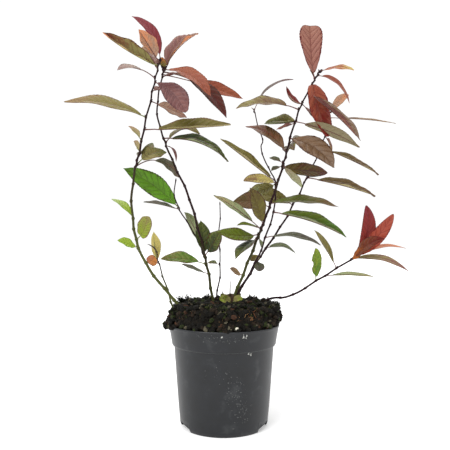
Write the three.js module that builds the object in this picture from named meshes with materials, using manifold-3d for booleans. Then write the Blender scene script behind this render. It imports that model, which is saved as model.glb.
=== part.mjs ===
// Potted sweetspire shrub in early autumn, in its black nursery pot.
// Millimetres, +Z up, the origin at the centre of the pot's flat underside.
// +X is to the right in the front view and +Y is away from the viewer.
//
// Nine thin canes rise from the filled pot. Each cane is one smooth route with a taper. It is cut at
// named heights into bare stretches and leafy stretches, and every stretch is a solid of its own.
// A leafy stretch carries the leaves whose nodes lie on it, fused to it with their stalks sunk to
// the middle of the cane.

import * as THREE from "three";
import { mergeVertices } from "three/addons/utils/BufferGeometryUtils.js";
import Module from "manifold-3d";

const wasm = await Module();
wasm.setup();

const { PI, atan2, ceil, cos, hypot, max, min, sin, sqrt } = Math;
const degrees = (angle) => (angle * PI) / 180;
const GAP = 0.3;

// The pot: a standard 17 cm round nursery pot, 154 mm tall.
const POT = {
  height: 154,
  rimRadius: 85,
  rimFootRadius: 79.5,
  rimDepth: 31,
  rimRound: 0.5,
  ledgeRadius: 76.5,
  ledgeRise: 1.5,
  bellyRadius: 69.5,
  bellyHeight: 30,
  heelRadius: 67,
  heelHeight: 5,
  footRadius: 65,
  wall: 1.8,
  floor: 3,
  sides: 56,
};

// Drain notches in the bottom edge, by their bearing from the front.
const NOTCH = { bearings: [66, 114, 246, 294], middleRadius: 66, width: 38, height: 9, depth: 7 };

// The root ball: it fills the pot and stands up out of it with steep shoulders.
const SOIL = {
  chamferRadius: 56,
  chamferTop: 10,
  shoulderRadius: 80.5,
  lipDepth: 4,
  sunk: 1,
  plateauRadius: 72,
  plateauHeight: 179,
  domeRise: 4,
  bump: 1.6,
  // The rings of points from the shoulder in to the middle.
  ringRadii: [80.5, 79.5, 77.5, 75, 72, 56, 38, 19, 0],
  sides: 40,
};

// The knobby crown of old wood that the right-hand canes spring from.
const CROWN = {
  at: [11, 2],
  radius: 14,
  shoulderHeight: 187,
  slopeRadius: 11,
  slopeHeight: 195,
  neckRadius: 8,
  foot: 171,
  top: 199,
  sides: 12,
};

const LEAF = {
  thick: 1 / 55,
  leastThick: 0.7,
  stalk: 9,
  fold: 20,
  stalkRadius: 0.9,
  // How wide the blade is at each share of its length, as a share of its half width.
  stations: [0.1, 0.3, 0.52, 0.74, 0.9],
  widths: [0.42, 0.88, 1, 0.74, 0.34],
};

const STEM = { sides: 6, step: 16 };

const COLOURS = {
  pot: 0x46494b,
  soil: 0x2c231b,
  crown: 0x5a4632,
  greenCane: 0x3f4a26,
  redCane: 0x3a2224,
};

// One leaf: the height of its node on the cane, how far its tip reaches from there (right, back, up),
// its full width, how far its upper face turns to the front (1 faces the viewer, -1 shows the
// underside, 0 is edge-on), how high it arches, the length of its stalk, and how steeply its halves
// fold up from the midrib, in degrees.
const leaf = (at, reach, wide, turn, arch, stalk = LEAF.stalk, fold = LEAF.fold) => {
  return { at, reach, wide, turn, arch, stalk, fold };
};

// Each cane: the points it passes through, from inside the root ball to its tip, its radius at foot
// and tip, its stretches from the foot up, each with the height where it ends, and its leaves.
const CANES = {
  left: {
    route: [
      [-54, -25, 168],
      [-119, -35, 253.5],
      [-137, -32, 341.5],
      [-122, -30, 432],
      [-107, -34, 496.5],
      [-94, -38, 550],
    ],
    radius: [2.5, 1.2],
    colour: COLOURS.greenCane,
    stretches: [
      ["cane_left", 262],
      ["foliage_left_low", 330],
      ["cane_left_upper", 382],
      ["foliage_left_top", Infinity],
    ],
    leaves: [
      leaf(270, [-26, -25, 12], 18, 0.63, 1, 5),
      leaf(283, [17, -14, 34], 25, 0.94, -6),
      leaf(314, [-36, 16, 30], 16, 0.58, 5.5, 5),
      leaf(390.5, [60, 66, -8], 24, 0.85, 18, 38),
      leaf(393.5, [41, 33, 24], 30, 0.88, 7.5, 12),
      leaf(400.5, [18, 70, 24], 26, 0.3, 10, 8),
      leaf(411, [-11, 12, 20], 14, -0.6, 2, 5),
      leaf(429, [-17, -12, 20], 15, -0.5, 3, 5),
      leaf(446, [129, -20, 3], 36, 0.58, -0.5, 20, 37),
      leaf(464, [-113, -32, 16], 32, 0.64, 9.5, 6),
      leaf(487.5, [50, 56, -12], 26, 0.78, 1, 14),
      leaf(501.5, [31, 74, -1], 28, 0.3, 12, 8),
      leaf(515, [47, -28, -51], 34, 0.98, 7, 4),
      leaf(521, [-47, -46, -2], 20, 0.49, 9, 24),
      leaf(532, [-32, 60, 50], 28, 0.3, 8, 6),
      leaf(539, [-75, -30, 38], 35, 0.74, -3.5, 4, 46),
      leaf(543, [-27, -26, 40], 30, -0.7, 0),
      leaf(548, [-44, 10, 68], 19, 0.88, 12.5, 6),
    ],
  },
  sprout: {
    route: [
      [-73, -14, 166],
      [-86, -12, 207],
      [-99.5, -20, 251],
    ],
    radius: [1.6, 1],
    colour: COLOURS.greenCane,
    stretches: [["cane_sprout", 238], ["foliage_sprout", Infinity]],
    leaves: [
      leaf(246, [-18, -14, 8], 19, 0.81, 0.5, 4),
      leaf(248, [-7, 4, 47], 20, -0.85, -1.5, 5),
      leaf(250, [-15, -5, 26], 5, 0.3, 6, 5),
    ],
  },
  inner: {
    route: [
      [-16, 22, 176],
      [-30, 17, 255],
      [-53, 6, 344],
      [-87, 10, 422],
      [-105.5, 22, 484],
      [-96.5, 35, 560],
    ],
    radius: [2.3, 1.2],
    colour: COLOURS.redCane,
    stretches: [
      ["cane_inner", 222],
      ["foliage_inner_low", 305],
      ["cane_inner_upper", 418],
      ["foliage_inner_middle", 452],
      ["cane_inner_top", 538],
      ["foliage_inner_top", Infinity],
    ],
    leaves: [
      leaf(228, [-42, -30, 18], 16, 0.29, 0),
      leaf(243, [-71, -13, 9], 27, 0.64, 5.5, 12),
      leaf(254, [-8, 12, 59], 28, 0.91, -0.5),
      leaf(256, [26, -19, 42], 33, 0.77, -1),
      leaf(428.5, [18, -19, -27], 9, 0.4, 8, 5),
      leaf(433.5, [51, 60, 26], 28, 0.3, 14, 10),
      leaf(440.5, [103, 22, -33], 40, 0.46, 13, 12, 46),
      leaf(541.5, [53, 70, 7], 28, 0.3, 12, 8),
      leaf(546.5, [131, 34, -31], 26, 0.88, 3.5, 50),
      leaf(550.5, [101, -10, -76], 30, 0.82, 17.2, 42),
      leaf(554.5, [77, -40, -54], 30, 0.8, 13.2, 8),
      leaf(557, [1, -14, 13], 17, 0.95, 0.5, 2),
      leaf(558, [53, 42, 71], 49, 0.69, 6.5, 4, 51),
    ],
  },
  branch: {
    route: [
      [-29, 20, 246],
      [-37, 25, 272],
      [-51, 24, 298],
      [-68, 19, 326],
      [-77, 10, 351],
      [-75, 3, 376],
    ],
    radius: [1.3, 0.9],
    colour: COLOURS.redCane,
    stretches: [["foliage_branch", Infinity]],
    leaves: [
      leaf(274, [-29, 46, 54], 22, -0.84, 5, 6),
      leaf(330, [-53, -21, 10], 18, 0.33, 2, 6),
      leaf(331, [-87, -12, 62], 36, 0.97, 6, 8),
    ],
  },
  twig: {
    route: [
      [-14, 26, 178],
      [-6, 34, 235.5],
      [-8, 44, 282],
      [-6, 56, 343.5],
    ],
    radius: [1.4, 0.8],
    colour: COLOURS.redCane,
    stretches: [["cane_twig", 232], ["foliage_twig", Infinity]],
    leaves: [
      leaf(241.5, [-20, -14, 4], 12, -0.6, 2, 6),
    ],
  },
  right: {
    route: [
      [11, -2, 184],
      [47, -13, 275],
      [80.5, -25, 367.5],
      [108, -39, 466.5],
      [139.5, -52, 529],
    ],
    radius: [2.5, 1.1],
    colour: COLOURS.redCane,
    stretches: [
      ["cane_right", 262],
      ["foliage_right_low", 345],
      ["cane_right_middle", 380],
      ["foliage_right_middle", 436],
      ["cane_right_upper", 450],
      ["foliage_right_top", Infinity],
    ],
    leaves: [
      leaf(228, [-20, -16, 12], 14, 0.59, -1, 5),
      leaf(284, [-34, -55, -28], 24, 0.53, 4, 8),
      leaf(286, [4, -8, -15], 9, 0.6, 3, 4),
      leaf(290, [-63, -48, 4], 30, 0.68, -3, 8),
      leaf(297, [-72, -19, 52], 20, -0.57, 4, 18),
      leaf(299, [-37, -28, 5], 14, 0.35, 3, 6),
      leaf(305, [-22, -38, 53], 28, 0.9, 3, 5),
      leaf(331, [-54, 48, 12], 30, 0.98, 5, 8),
      leaf(337, [102, -9, -6], 26, 0.54, 7, 4),
      leaf(389.5, [73, 33, -3], 26, 0.89, -0.5, 1),
      leaf(391.5, [-15, 18, -4], 10, -0.5, 2, 5),
      leaf(393.5, [21, -48, -38], 19, 0.76, -0.5, 6),
      leaf(396.5, [-22, -16, 6], 9, -0.6, 2, 5),
      leaf(405, [20, 70, 22], 26, 0.3, 12, 10),
      leaf(413, [-59, 48, 47], 30, 0.76, 8.5, 6),
      leaf(425, [46, 40, -3], 28, 0.3, 12, 8),
      leaf(433, [58, -42, -49], 40, 0.87, 8, 3),
      leaf(454.5, [-29, -18, -13], 13, -0.22, 0, 6),
      leaf(456.5, [90, -28, -42], 28, -0.39, 5.5, 14),
      leaf(457.5, [-42, 56, 7], 35, 0.68, -1, 3, 45),
      leaf(473.5, [-92, 20, 6], 30, 0.64, 10, 18),
      leaf(482, [25, 14, -25], 12, -0.27, 1.5, 8),
      leaf(482, [-21, 13, 29], 17, 0.66, -7.5, 1, 49),
      leaf(498, [67, -41, -78], 36, 0.44, 3.5, 14, 33),
      leaf(510.5, [25, 6, -77], 36, 0.92, -1.5, 1),
      leaf(514.5, [-8, -3, 14], 5, 0.6, 1, 4),
      leaf(515.5, [-7, -2, 77], 37, 0.98, -1.5, 8),
      leaf(520.5, [55, 36, -32], 13, 0.75, 13, 8),
      leaf(526.5, [39, -44, -11], 14, 0.74, 4.5, 6),
    ],
  },
  slim: {
    route: [
      [12, 3, 184],
      [52, 16, 252.5],
      [70.5, 25, 300.5],
      [79, 31, 325.5],
      [82.5, 37, 352.5],
      [83, 42, 377],
      [75.5, 46, 392],
      [67.5, 51, 409.5],
      [61, 58, 434.5],
      [63, 60, 445.5],
      [56, 67, 474],
      [49.5, 76, 500],
    ],
    radius: [1.7, 0.9],
    colour: COLOURS.redCane,
    stretches: [
      ["cane_slim", 276],
      ["foliage_slim_low", 386],
      ["cane_slim_upper", 490],
      ["foliage_slim_top", Infinity],
    ],
    leaves: [
      leaf(285, [86, -18, -11], 22, 0.38, 9.5, 12),
      leaf(326, [113, -20, -40], 38, 0.51, 6.5, 12, 46),
      leaf(373.5, [-54, -32, 0], 22, 0.79, 4, 4),
      leaf(377.5, [-89, -17, 65], 26, 0.55, 0, 8, 48),
      leaf(495, [-6, 4, 9], 5, 0.5, 1, 4),
      leaf(498, [63, -25, 46], 12, 0.46, 15.5, 10),
      leaf(372, [-47, -12, -15], 26, 0.84, -3.5, 3),
    ],
  },
  back: {
    route: [
      [14, 10, 184],
      [53.5, 32, 248],
      [99, 53, 313.5],
      [140, 68, 388.5],
      [165.5, 79, 445.5],
      [181, 86, 501.5],
    ],
    radius: [2.1, 1],
    colour: COLOURS.redCane,
    stretches: [
      ["cane_back", 244],
      ["foliage_back_low", 280],
      ["cane_back_middle", 332],
      ["foliage_back_middle", 396],
      ["cane_back_upper", 430],
      ["foliage_back_top", Infinity],
    ],
    leaves: [
      leaf(247, [4, -8, -15], 18, 0.95, 3, 2),
      leaf(255, [-17, -13, -7], 14, 0.8, 2, 2),
      leaf(268, [52, 18, -10], 18, 0.4, 8.5, 6),
      leaf(339.5, [-69, 36, 22], 28, 0.92, 4.5, 6),
      leaf(377, [34, 30, 14], 26, 0.3, 12, 10),
      leaf(385, [119, 18, -29], 38, 0.48, 3, 16, 47),
      leaf(438, [109, 34, -43], 28, 0.52, 2.5, 20, 39),
      leaf(455.5, [14, 20, -33], 22, 0.3, 10, 8),
      leaf(488, [118, 16, -6], 16, 0.38, 2.5, 14),
      leaf(498.5, [24, -26, 22], 17, 0.9, 4.5, 5),
    ],
  },
  runner: {
    route: [
      [47, 26, 175],
      [74, 20, 189.5],
      [94.5, 14, 192],
      [112.5, 9, 199],
      [127.5, 4, 209],
      [143, -1, 219.5],
      [171, -11, 238.5],
      [198, -21, 257],
    ],
    radius: [1.9, 1.4],
    colour: COLOURS.redCane,
    stretches: [
      ["cane_runner", 213],
      ["foliage_runner", 242],
      ["cane_runner_end", 249],
      ["foliage_runner_tip", Infinity],
    ],
    leaves: [
      leaf(219, [-5, -28, 51], 19, 0.95, 4, 6),
      leaf(227, [70, -21, 0], 16, -0.45, 3, 8),
      leaf(239, [-36, -18, 58], 18, 0.62, 3.5),
      leaf(252, [13, -22, 24], 11, 0.83, -3, 3),
      leaf(253, [81, -19, -17], 19, 0.51, 10.5, 6),
      leaf(254, [96, 48, 14], 9, 0.62, 10.5, 8),
      leaf(255, [31, -56, 30], 22, 0.6, 5, 3),
      leaf(255.5, [52, -20, 65], 22, 0.97, -4.5, 6),
      leaf(256, [15, -4, 78], 22, 0.97, -11, 6),
    ],
  },
};

// Turns a closed mesh into a solid that can be joined and cut.
function solidOf(geometry) {
  geometry.deleteAttribute("normal");
  geometry.deleteAttribute("uv");
  const merged = mergeVertices(geometry, 1e-4);
  const vertProperties = new Float32Array(merged.attributes.position.array);
  const triVerts = new Uint32Array(merged.index.array);
  return new wasm.Manifold(new wasm.Mesh({ numProp: 3, vertProperties, triVerts }));
}

function geometryOf(solid) {
  const mesh = solid.getMesh();
  const geometry = new THREE.BufferGeometry();
  geometry.setAttribute("position", new THREE.BufferAttribute(mesh.vertProperties, 3));
  geometry.setIndex(new THREE.BufferAttribute(mesh.triVerts, 1));
  geometry.computeVertexNormals();
  return geometry;
}

// A closed skin over rings of points that run counter-clockwise about the way along. It ends in a
// flat cap, or in a point where a tip is given.
function loft(rings, tip) {
  const sides = rings[0].length;
  const points = rings.flat();
  const faces = [];
  for (let k = 1; k < sides - 1; k++) faces.push(0, k + 1, k);
  for (let row = 0; row < rings.length - 1; row++) {
    for (let k = 0; k < sides; k++) {
      const here = row * sides + k;
      const next = row * sides + ((k + 1) % sides);
      faces.push(here, next, next + sides, here, next + sides, here + sides);
    }
  }
  const last = (rings.length - 1) * sides;
  if (tip) points.push(tip);
  for (let k = 0; k < sides; k++) {
    if (tip) faces.push(last + k, last + ((k + 1) % sides), points.length - 1);
    else if (k > 0 && k < sides - 1) faces.push(last, last + k, last + k + 1);
  }
  const geometry = new THREE.BufferGeometry().setFromPoints(points);
  geometry.setIndex(faces);
  return geometry;
}

// The share of the way up a curve where it passes a height. Every cane rises all the way.
function shareAtHeight(curve, height) {
  let low = 0;
  let high = 1;
  for (let pass = 0; pass < 24; pass++) {
    const middle = (low + high) / 2;
    if (curve.getPointAt(middle).z < height) low = middle;
    else high = middle;
  }
  return (low + high) / 2;
}

function curveOf(cane) {
  const points = cane.route.map((point) => new THREE.Vector3(...point));
  return new THREE.CatmullRomCurve3(points, false, "catmullrom", 0.5);
}

// A tapering stretch of cane between two shares of its curve.
function stemSolid(cane, curve, from, to, extra = 0) {
  const bands = max(1, ceil(((to - from) * curve.getLength()) / STEM.step));
  const rings = [];
  for (let band = 0; band <= bands; band++) {
    const share = from + ((to - from) * band) / bands;
    const centre = curve.getPointAt(share);
    const along = curve.getTangentAt(share);
    const across = new THREE.Vector3(0, 1, 0).cross(along).normalize();
    const other = along.clone().cross(across);
    const radius = cane.radius[0] + (cane.radius[1] - cane.radius[0]) * share + extra;
    rings.push(
      Array.from({ length: STEM.sides }, (_, k) => {
        const angle = (2 * PI * k) / STEM.sides;
        return centre
          .clone()
          .addScaledVector(across, radius * cos(angle))
          .addScaledVector(other, radius * sin(angle));
      }),
    );
  }
  return solidOf(loft(rings));
}

// The direction the upper face of a leaf looks, square to the line from its node to its tip.
function faceDirection(chord, turn) {
  const toViewer = new THREE.Vector3(0, -1, 0);
  const front = toViewer.addScaledVector(chord, -toViewer.dot(chord)).normalize();
  const upward = new THREE.Vector3().crossVectors(chord, front).normalize();
  if (upward.z < 0) upward.negate();
  return upward.multiplyScalar(sqrt(1 - turn * turn)).addScaledVector(front, turn);
}

// One leaf as a thin folded blade on a stalk that starts on the middle line of the cane.
function leafSolid(root, { reach, wide, turn, arch, stalk, fold }) {
  const tip = root.clone().add(new THREE.Vector3(...reach));
  const chord = tip.clone().sub(root);
  const length = chord.length();
  chord.normalize();
  const rise = new THREE.Vector3(0, 0, 1).addScaledVector(chord, -chord.z).normalize();
  const bend = root.clone().add(tip).multiplyScalar(0.5).addScaledVector(rise, 2 * arch);
  const midrib = new THREE.QuadraticBezierCurve3(root, bend, tip);
  const face = faceDirection(chord, turn);
  const thick = max(LEAF.leastThick, length * LEAF.thick);

  const section = (share, halfWidth, halfThick, slope) => {
    const centre = midrib.getPointAt(share);
    const along = midrib.getTangentAt(share);
    const side = along.clone().cross(face).normalize();
    const up = side.clone().cross(along);
    const edge = (way) =>
      centre
        .clone()
        .addScaledVector(side, way * halfWidth * cos(slope))
        .addScaledVector(up, halfWidth * sin(slope));
    return [
      edge(-1),
      centre.clone().addScaledVector(up, halfThick),
      edge(1),
      centre.clone().addScaledVector(up, -halfThick),
    ];
  };

  const bladeStart = min(0.6, stalk / length);
  const rings = [0, bladeStart].map((share) => section(share, LEAF.stalkRadius, LEAF.stalkRadius, 0));
  LEAF.stations.forEach((station, row) => {
    const share = bladeStart + (1 - bladeStart) * station;
    const halfWidth = max(LEAF.stalkRadius, (LEAF.widths[row] * wide) / 2);
    rings.push(section(share, halfWidth, thick / 2, degrees(fold)));
  });
  return solidOf(loft(rings, tip));
}

// A closed lathe about the upright axis from [radius, height] points, from the bottom up.
function turned(profile, sides) {
  const points = profile.map((point) => new THREE.Vector2(...point));
  const lathe = new THREE.LatheGeometry(points, sides);
  lathe.rotateX(PI / 2);
  return lathe;
}

function potSolid() {
  const { height, rimRadius, rimFootRadius, rimRound, ledgeRadius, ledgeRise } = POT;
  const { footRadius, heelRadius, heelHeight, bellyRadius, bellyHeight, wall, floor } = POT;
  const ledge = height - POT.rimDepth;
  const outside = [
    [0, 0],
    [footRadius, 0],
    [heelRadius, heelHeight],
    [bellyRadius, bellyHeight],
    [ledgeRadius, ledge],
    [rimFootRadius, ledge + ledgeRise],
    [rimRadius - 2 * rimRound, height - 6 * rimRound],
    [rimRadius, height - 4 * rimRound],
    [rimRadius - rimRound, height],
  ];
  const inside = [
    [rimRadius - wall - rimRound, height],
    [rimRadius - wall - 3 * rimRound, height - 6 * rimRound],
    [rimFootRadius - wall, ledge + 2 * ledgeRise],
    [ledgeRadius - wall, ledge],
    [bellyRadius - wall, bellyHeight],
    [footRadius - wall, floor],
    [0, floor],
  ];
  let pot = solidOf(turned(outside.concat(inside), POT.sides));
  for (const bearing of NOTCH.bearings) {
    const cut = new THREE.BoxGeometry(NOTCH.width, NOTCH.depth * 2, NOTCH.height * 2);
    cut.translate(0, -NOTCH.middleRadius, 0);
    cut.rotateZ(degrees(bearing));
    pot = pot.subtract(solidOf(cut));
  }
  return pot;
}

// The height of the root ball's top, with low bumps, at a distance and bearing from the middle.
function soilHeight(radius, angle) {
  const { plateauHeight, plateauRadius, shoulderRadius, domeRise, bump } = SOIL;
  const lip = POT.height - SOIL.sunk;
  const past = max(0, (radius - plateauRadius) / (shoulderRadius - plateauRadius));
  const dome = domeRise * (1 - (radius / plateauRadius) ** 2);
  const rolling = bump * (sin(3 * angle + radius / 9) + cos(7 * angle - radius / 13)) * (1 - past);
  return lip + (plateauHeight + dome * (1 - past) - lip) * sqrt(max(0, 1 - past ** 2.4)) + rolling;
}

// The root ball is a lathe whose top is then lifted ring by ring to the rolling surface.
function soilSolid(lift = 0) {
  const fit = POT.wall + GAP;
  const { chamferRadius, chamferTop, shoulderRadius } = SOIL;
  const ledge = POT.height - POT.rimDepth;
  const under = [
    [0, POT.floor + GAP],
    [chamferRadius, POT.floor + GAP],
    [POT.footRadius - fit, chamferTop],
    [POT.bellyRadius - fit, POT.bellyHeight],
    [POT.ledgeRadius - fit, ledge],
    [shoulderRadius, POT.height - SOIL.lipDepth],
  ];
  const over = SOIL.ringRadii.map((radius) => [radius, SOIL.plateauHeight]);
  const lathe = turned(under.concat(over), SOIL.sides);
  const place = lathe.attributes.position;
  for (let k = 0; k < place.count; k++) {
    if (place.getZ(k) > POT.height) {
      const radius = hypot(place.getX(k), place.getY(k));
      const angle = radius > 1 ? atan2(place.getY(k), place.getX(k)) : 0;
      place.setZ(k, soilHeight(radius, angle) + lift);
    }
  }
  return solidOf(lathe);
}

function crownSolid(extra = 0) {
  const profile = [
    [0, CROWN.foot],
    [CROWN.radius + extra, CROWN.foot],
    [CROWN.radius + extra, CROWN.shoulderHeight],
    [CROWN.slopeRadius + extra, CROWN.slopeHeight],
    [CROWN.neckRadius + extra, CROWN.top + extra],
    [0, CROWN.top + extra],
  ];
  const lathe = turned(profile, CROWN.sides);
  lathe.translate(...CROWN.at, 0);
  return solidOf(lathe);
}

function meshOf(name, solid, colour, roughness = 0.7) {
  const material = new THREE.MeshStandardMaterial({ color: colour, roughness, metalness: 0 });
  const mesh = new THREE.Mesh(geometryOf(solid), material);
  mesh.name = name;
  return mesh;
}

const group = new THREE.Group();
const soil = soilSolid();
// What the feet of the canes are trimmed back to, one clearance off the real surfaces.
const liftedSoil = soilSolid(GAP);
const grownCrown = crownSolid(GAP);
const grownInner = stemSolid(CANES.inner, curveOf(CANES.inner), 0, 1, GAP);

group.add(meshOf("pot", potSolid(), COLOURS.pot, 0.45));
group.add(meshOf("soil", soil, COLOURS.soil, 0.95));
group.add(meshOf("root_crown", crownSolid().subtract(liftedSoil), COLOURS.crown, 0.9));

const SHOOT_COLOURS = {
  foliage_left_low: 0x86a02e,
  foliage_left_top: 0x7c4a3c,
  foliage_sprout: 0xb98a4a,
  foliage_inner_low: 0x53682f,
  foliage_inner_middle: 0x55663a,
  foliage_inner_top: 0x9c5038,
  foliage_branch: 0x4f7c28,
  foliage_twig: 0x8d917c,
  foliage_right_low: 0x6d6c35,
  foliage_right_middle: 0x6b5140,
  foliage_right_top: 0x8a4a3e,
  foliage_slim_low: 0x5f7536,
  foliage_slim_top: 0x5a5450,
  foliage_back_low: 0x6d6a4a,
  foliage_back_middle: 0x7b6c3c,
  foliage_back_top: 0x7f5a48,
  foliage_runner: 0x86953c,
  foliage_runner_tip: 0x9c4236,
};

for (const [caneName, cane] of Object.entries(CANES)) {
  const curve = curveOf(cane);
  const clear = GAP / curve.getLength();
  let from = 0;
  let lowest = -Infinity;
  for (const [name, top] of cane.stretches) {
    const to = top === Infinity ? 1 : shareAtHeight(curve, top);
    let solid = stemSolid(cane, curve, from, to);
    const growing = cane.leaves.filter((each) => each.at > lowest && each.at <= top);
    for (const each of growing) {
      const root = curve.getPointAt(shareAtHeight(curve, each.at));
      solid = solid.add(leafSolid(root, each));
    }
    if (from === 0) {
      const beside = caneName === "branch" ? grownInner : grownCrown;
      solid = solid.subtract(liftedSoil).subtract(beside);
    }
    group.add(meshOf(name, solid, SHOOT_COLOURS[name] ?? cane.colour));
    from = to + clear;
    lowest = top;
  }
}

export default group;
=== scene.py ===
"""Looks of the potted sweetspire: detailed leaves, canes, root ball and pot, and the studio.

Lengths are millimetres, as on the plant, and a mesh turns them to metres when it takes its points.
+X is to the right in the front view, +Y away from the viewer and +Z up, from the pot's underside.
Colours in tables are 8-bit screen colours.
"""

import math

import bpy
import numpy as np
from mathutils import Matrix, Vector, noise


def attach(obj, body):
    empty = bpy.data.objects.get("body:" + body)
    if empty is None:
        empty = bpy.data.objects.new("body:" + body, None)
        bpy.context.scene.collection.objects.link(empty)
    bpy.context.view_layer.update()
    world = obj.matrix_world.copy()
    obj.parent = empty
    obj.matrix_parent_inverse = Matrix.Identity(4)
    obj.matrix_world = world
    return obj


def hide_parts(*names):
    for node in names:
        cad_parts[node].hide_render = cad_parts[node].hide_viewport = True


MM = 0.001
SEED = 20
X_AXIS, Y_AXIS, Z_AXIS = np.eye(3)

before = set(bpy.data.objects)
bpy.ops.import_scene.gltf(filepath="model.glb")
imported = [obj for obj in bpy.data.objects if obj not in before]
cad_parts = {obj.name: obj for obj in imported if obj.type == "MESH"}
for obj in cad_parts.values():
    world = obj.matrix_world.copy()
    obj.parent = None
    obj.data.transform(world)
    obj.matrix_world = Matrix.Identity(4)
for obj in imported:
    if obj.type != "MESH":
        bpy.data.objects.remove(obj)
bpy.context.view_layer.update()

# Sizes shared with the part.
POT = {
    "height": 154,
    "rim_radius": 85,
    "rim_foot_radius": 79.5,
    "rim_depth": 31,
    "ledge_radius": 76.5,
    "belly_radius": 69.5,
    "belly_height": 30,
    "heel_radius": 67,
    "heel_height": 5,
    "foot_radius": 65,
    "wall": 1.8,
    "floor": 3,
}
LEDGE = POT["height"] - POT["rim_depth"]
NOTCH = {
    "bearings": (66, 114, 246, 294),
    "middle_radius": 66,
    "width": 38,
    "height": 9,
    "depth": 7,
    "corner": 2,
    "below": 4,
}
SOIL = {
    "shoulder_radius": 80.5,
    "sunk": 1,
    "plateau_radius": 72,
    "plateau_height": 179,
    "dome_rise": 4,
    "bump": 1.6,
}
CROWN = {"at": (11, 2), "radius": 14, "neck_radius": 8, "foot": 171, "top": 199}
STALK = 9


def leaf(at, reach, wide, turn, arch, look, stalk=STALK, form="pointed", fold=20):
    """One leaf: node height, reach of its tip, width, turn of its face, arch, colours, stalk,
    form and the angle that its halves fold up by."""
    return {
        "at": at,
        "reach": reach,
        "wide": wide,
        "turn": turn,
        "arch": arch,
        "look": look,
        "stalk": stalk,
        "form": form,
        "fold": math.radians(fold),
    }


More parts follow.
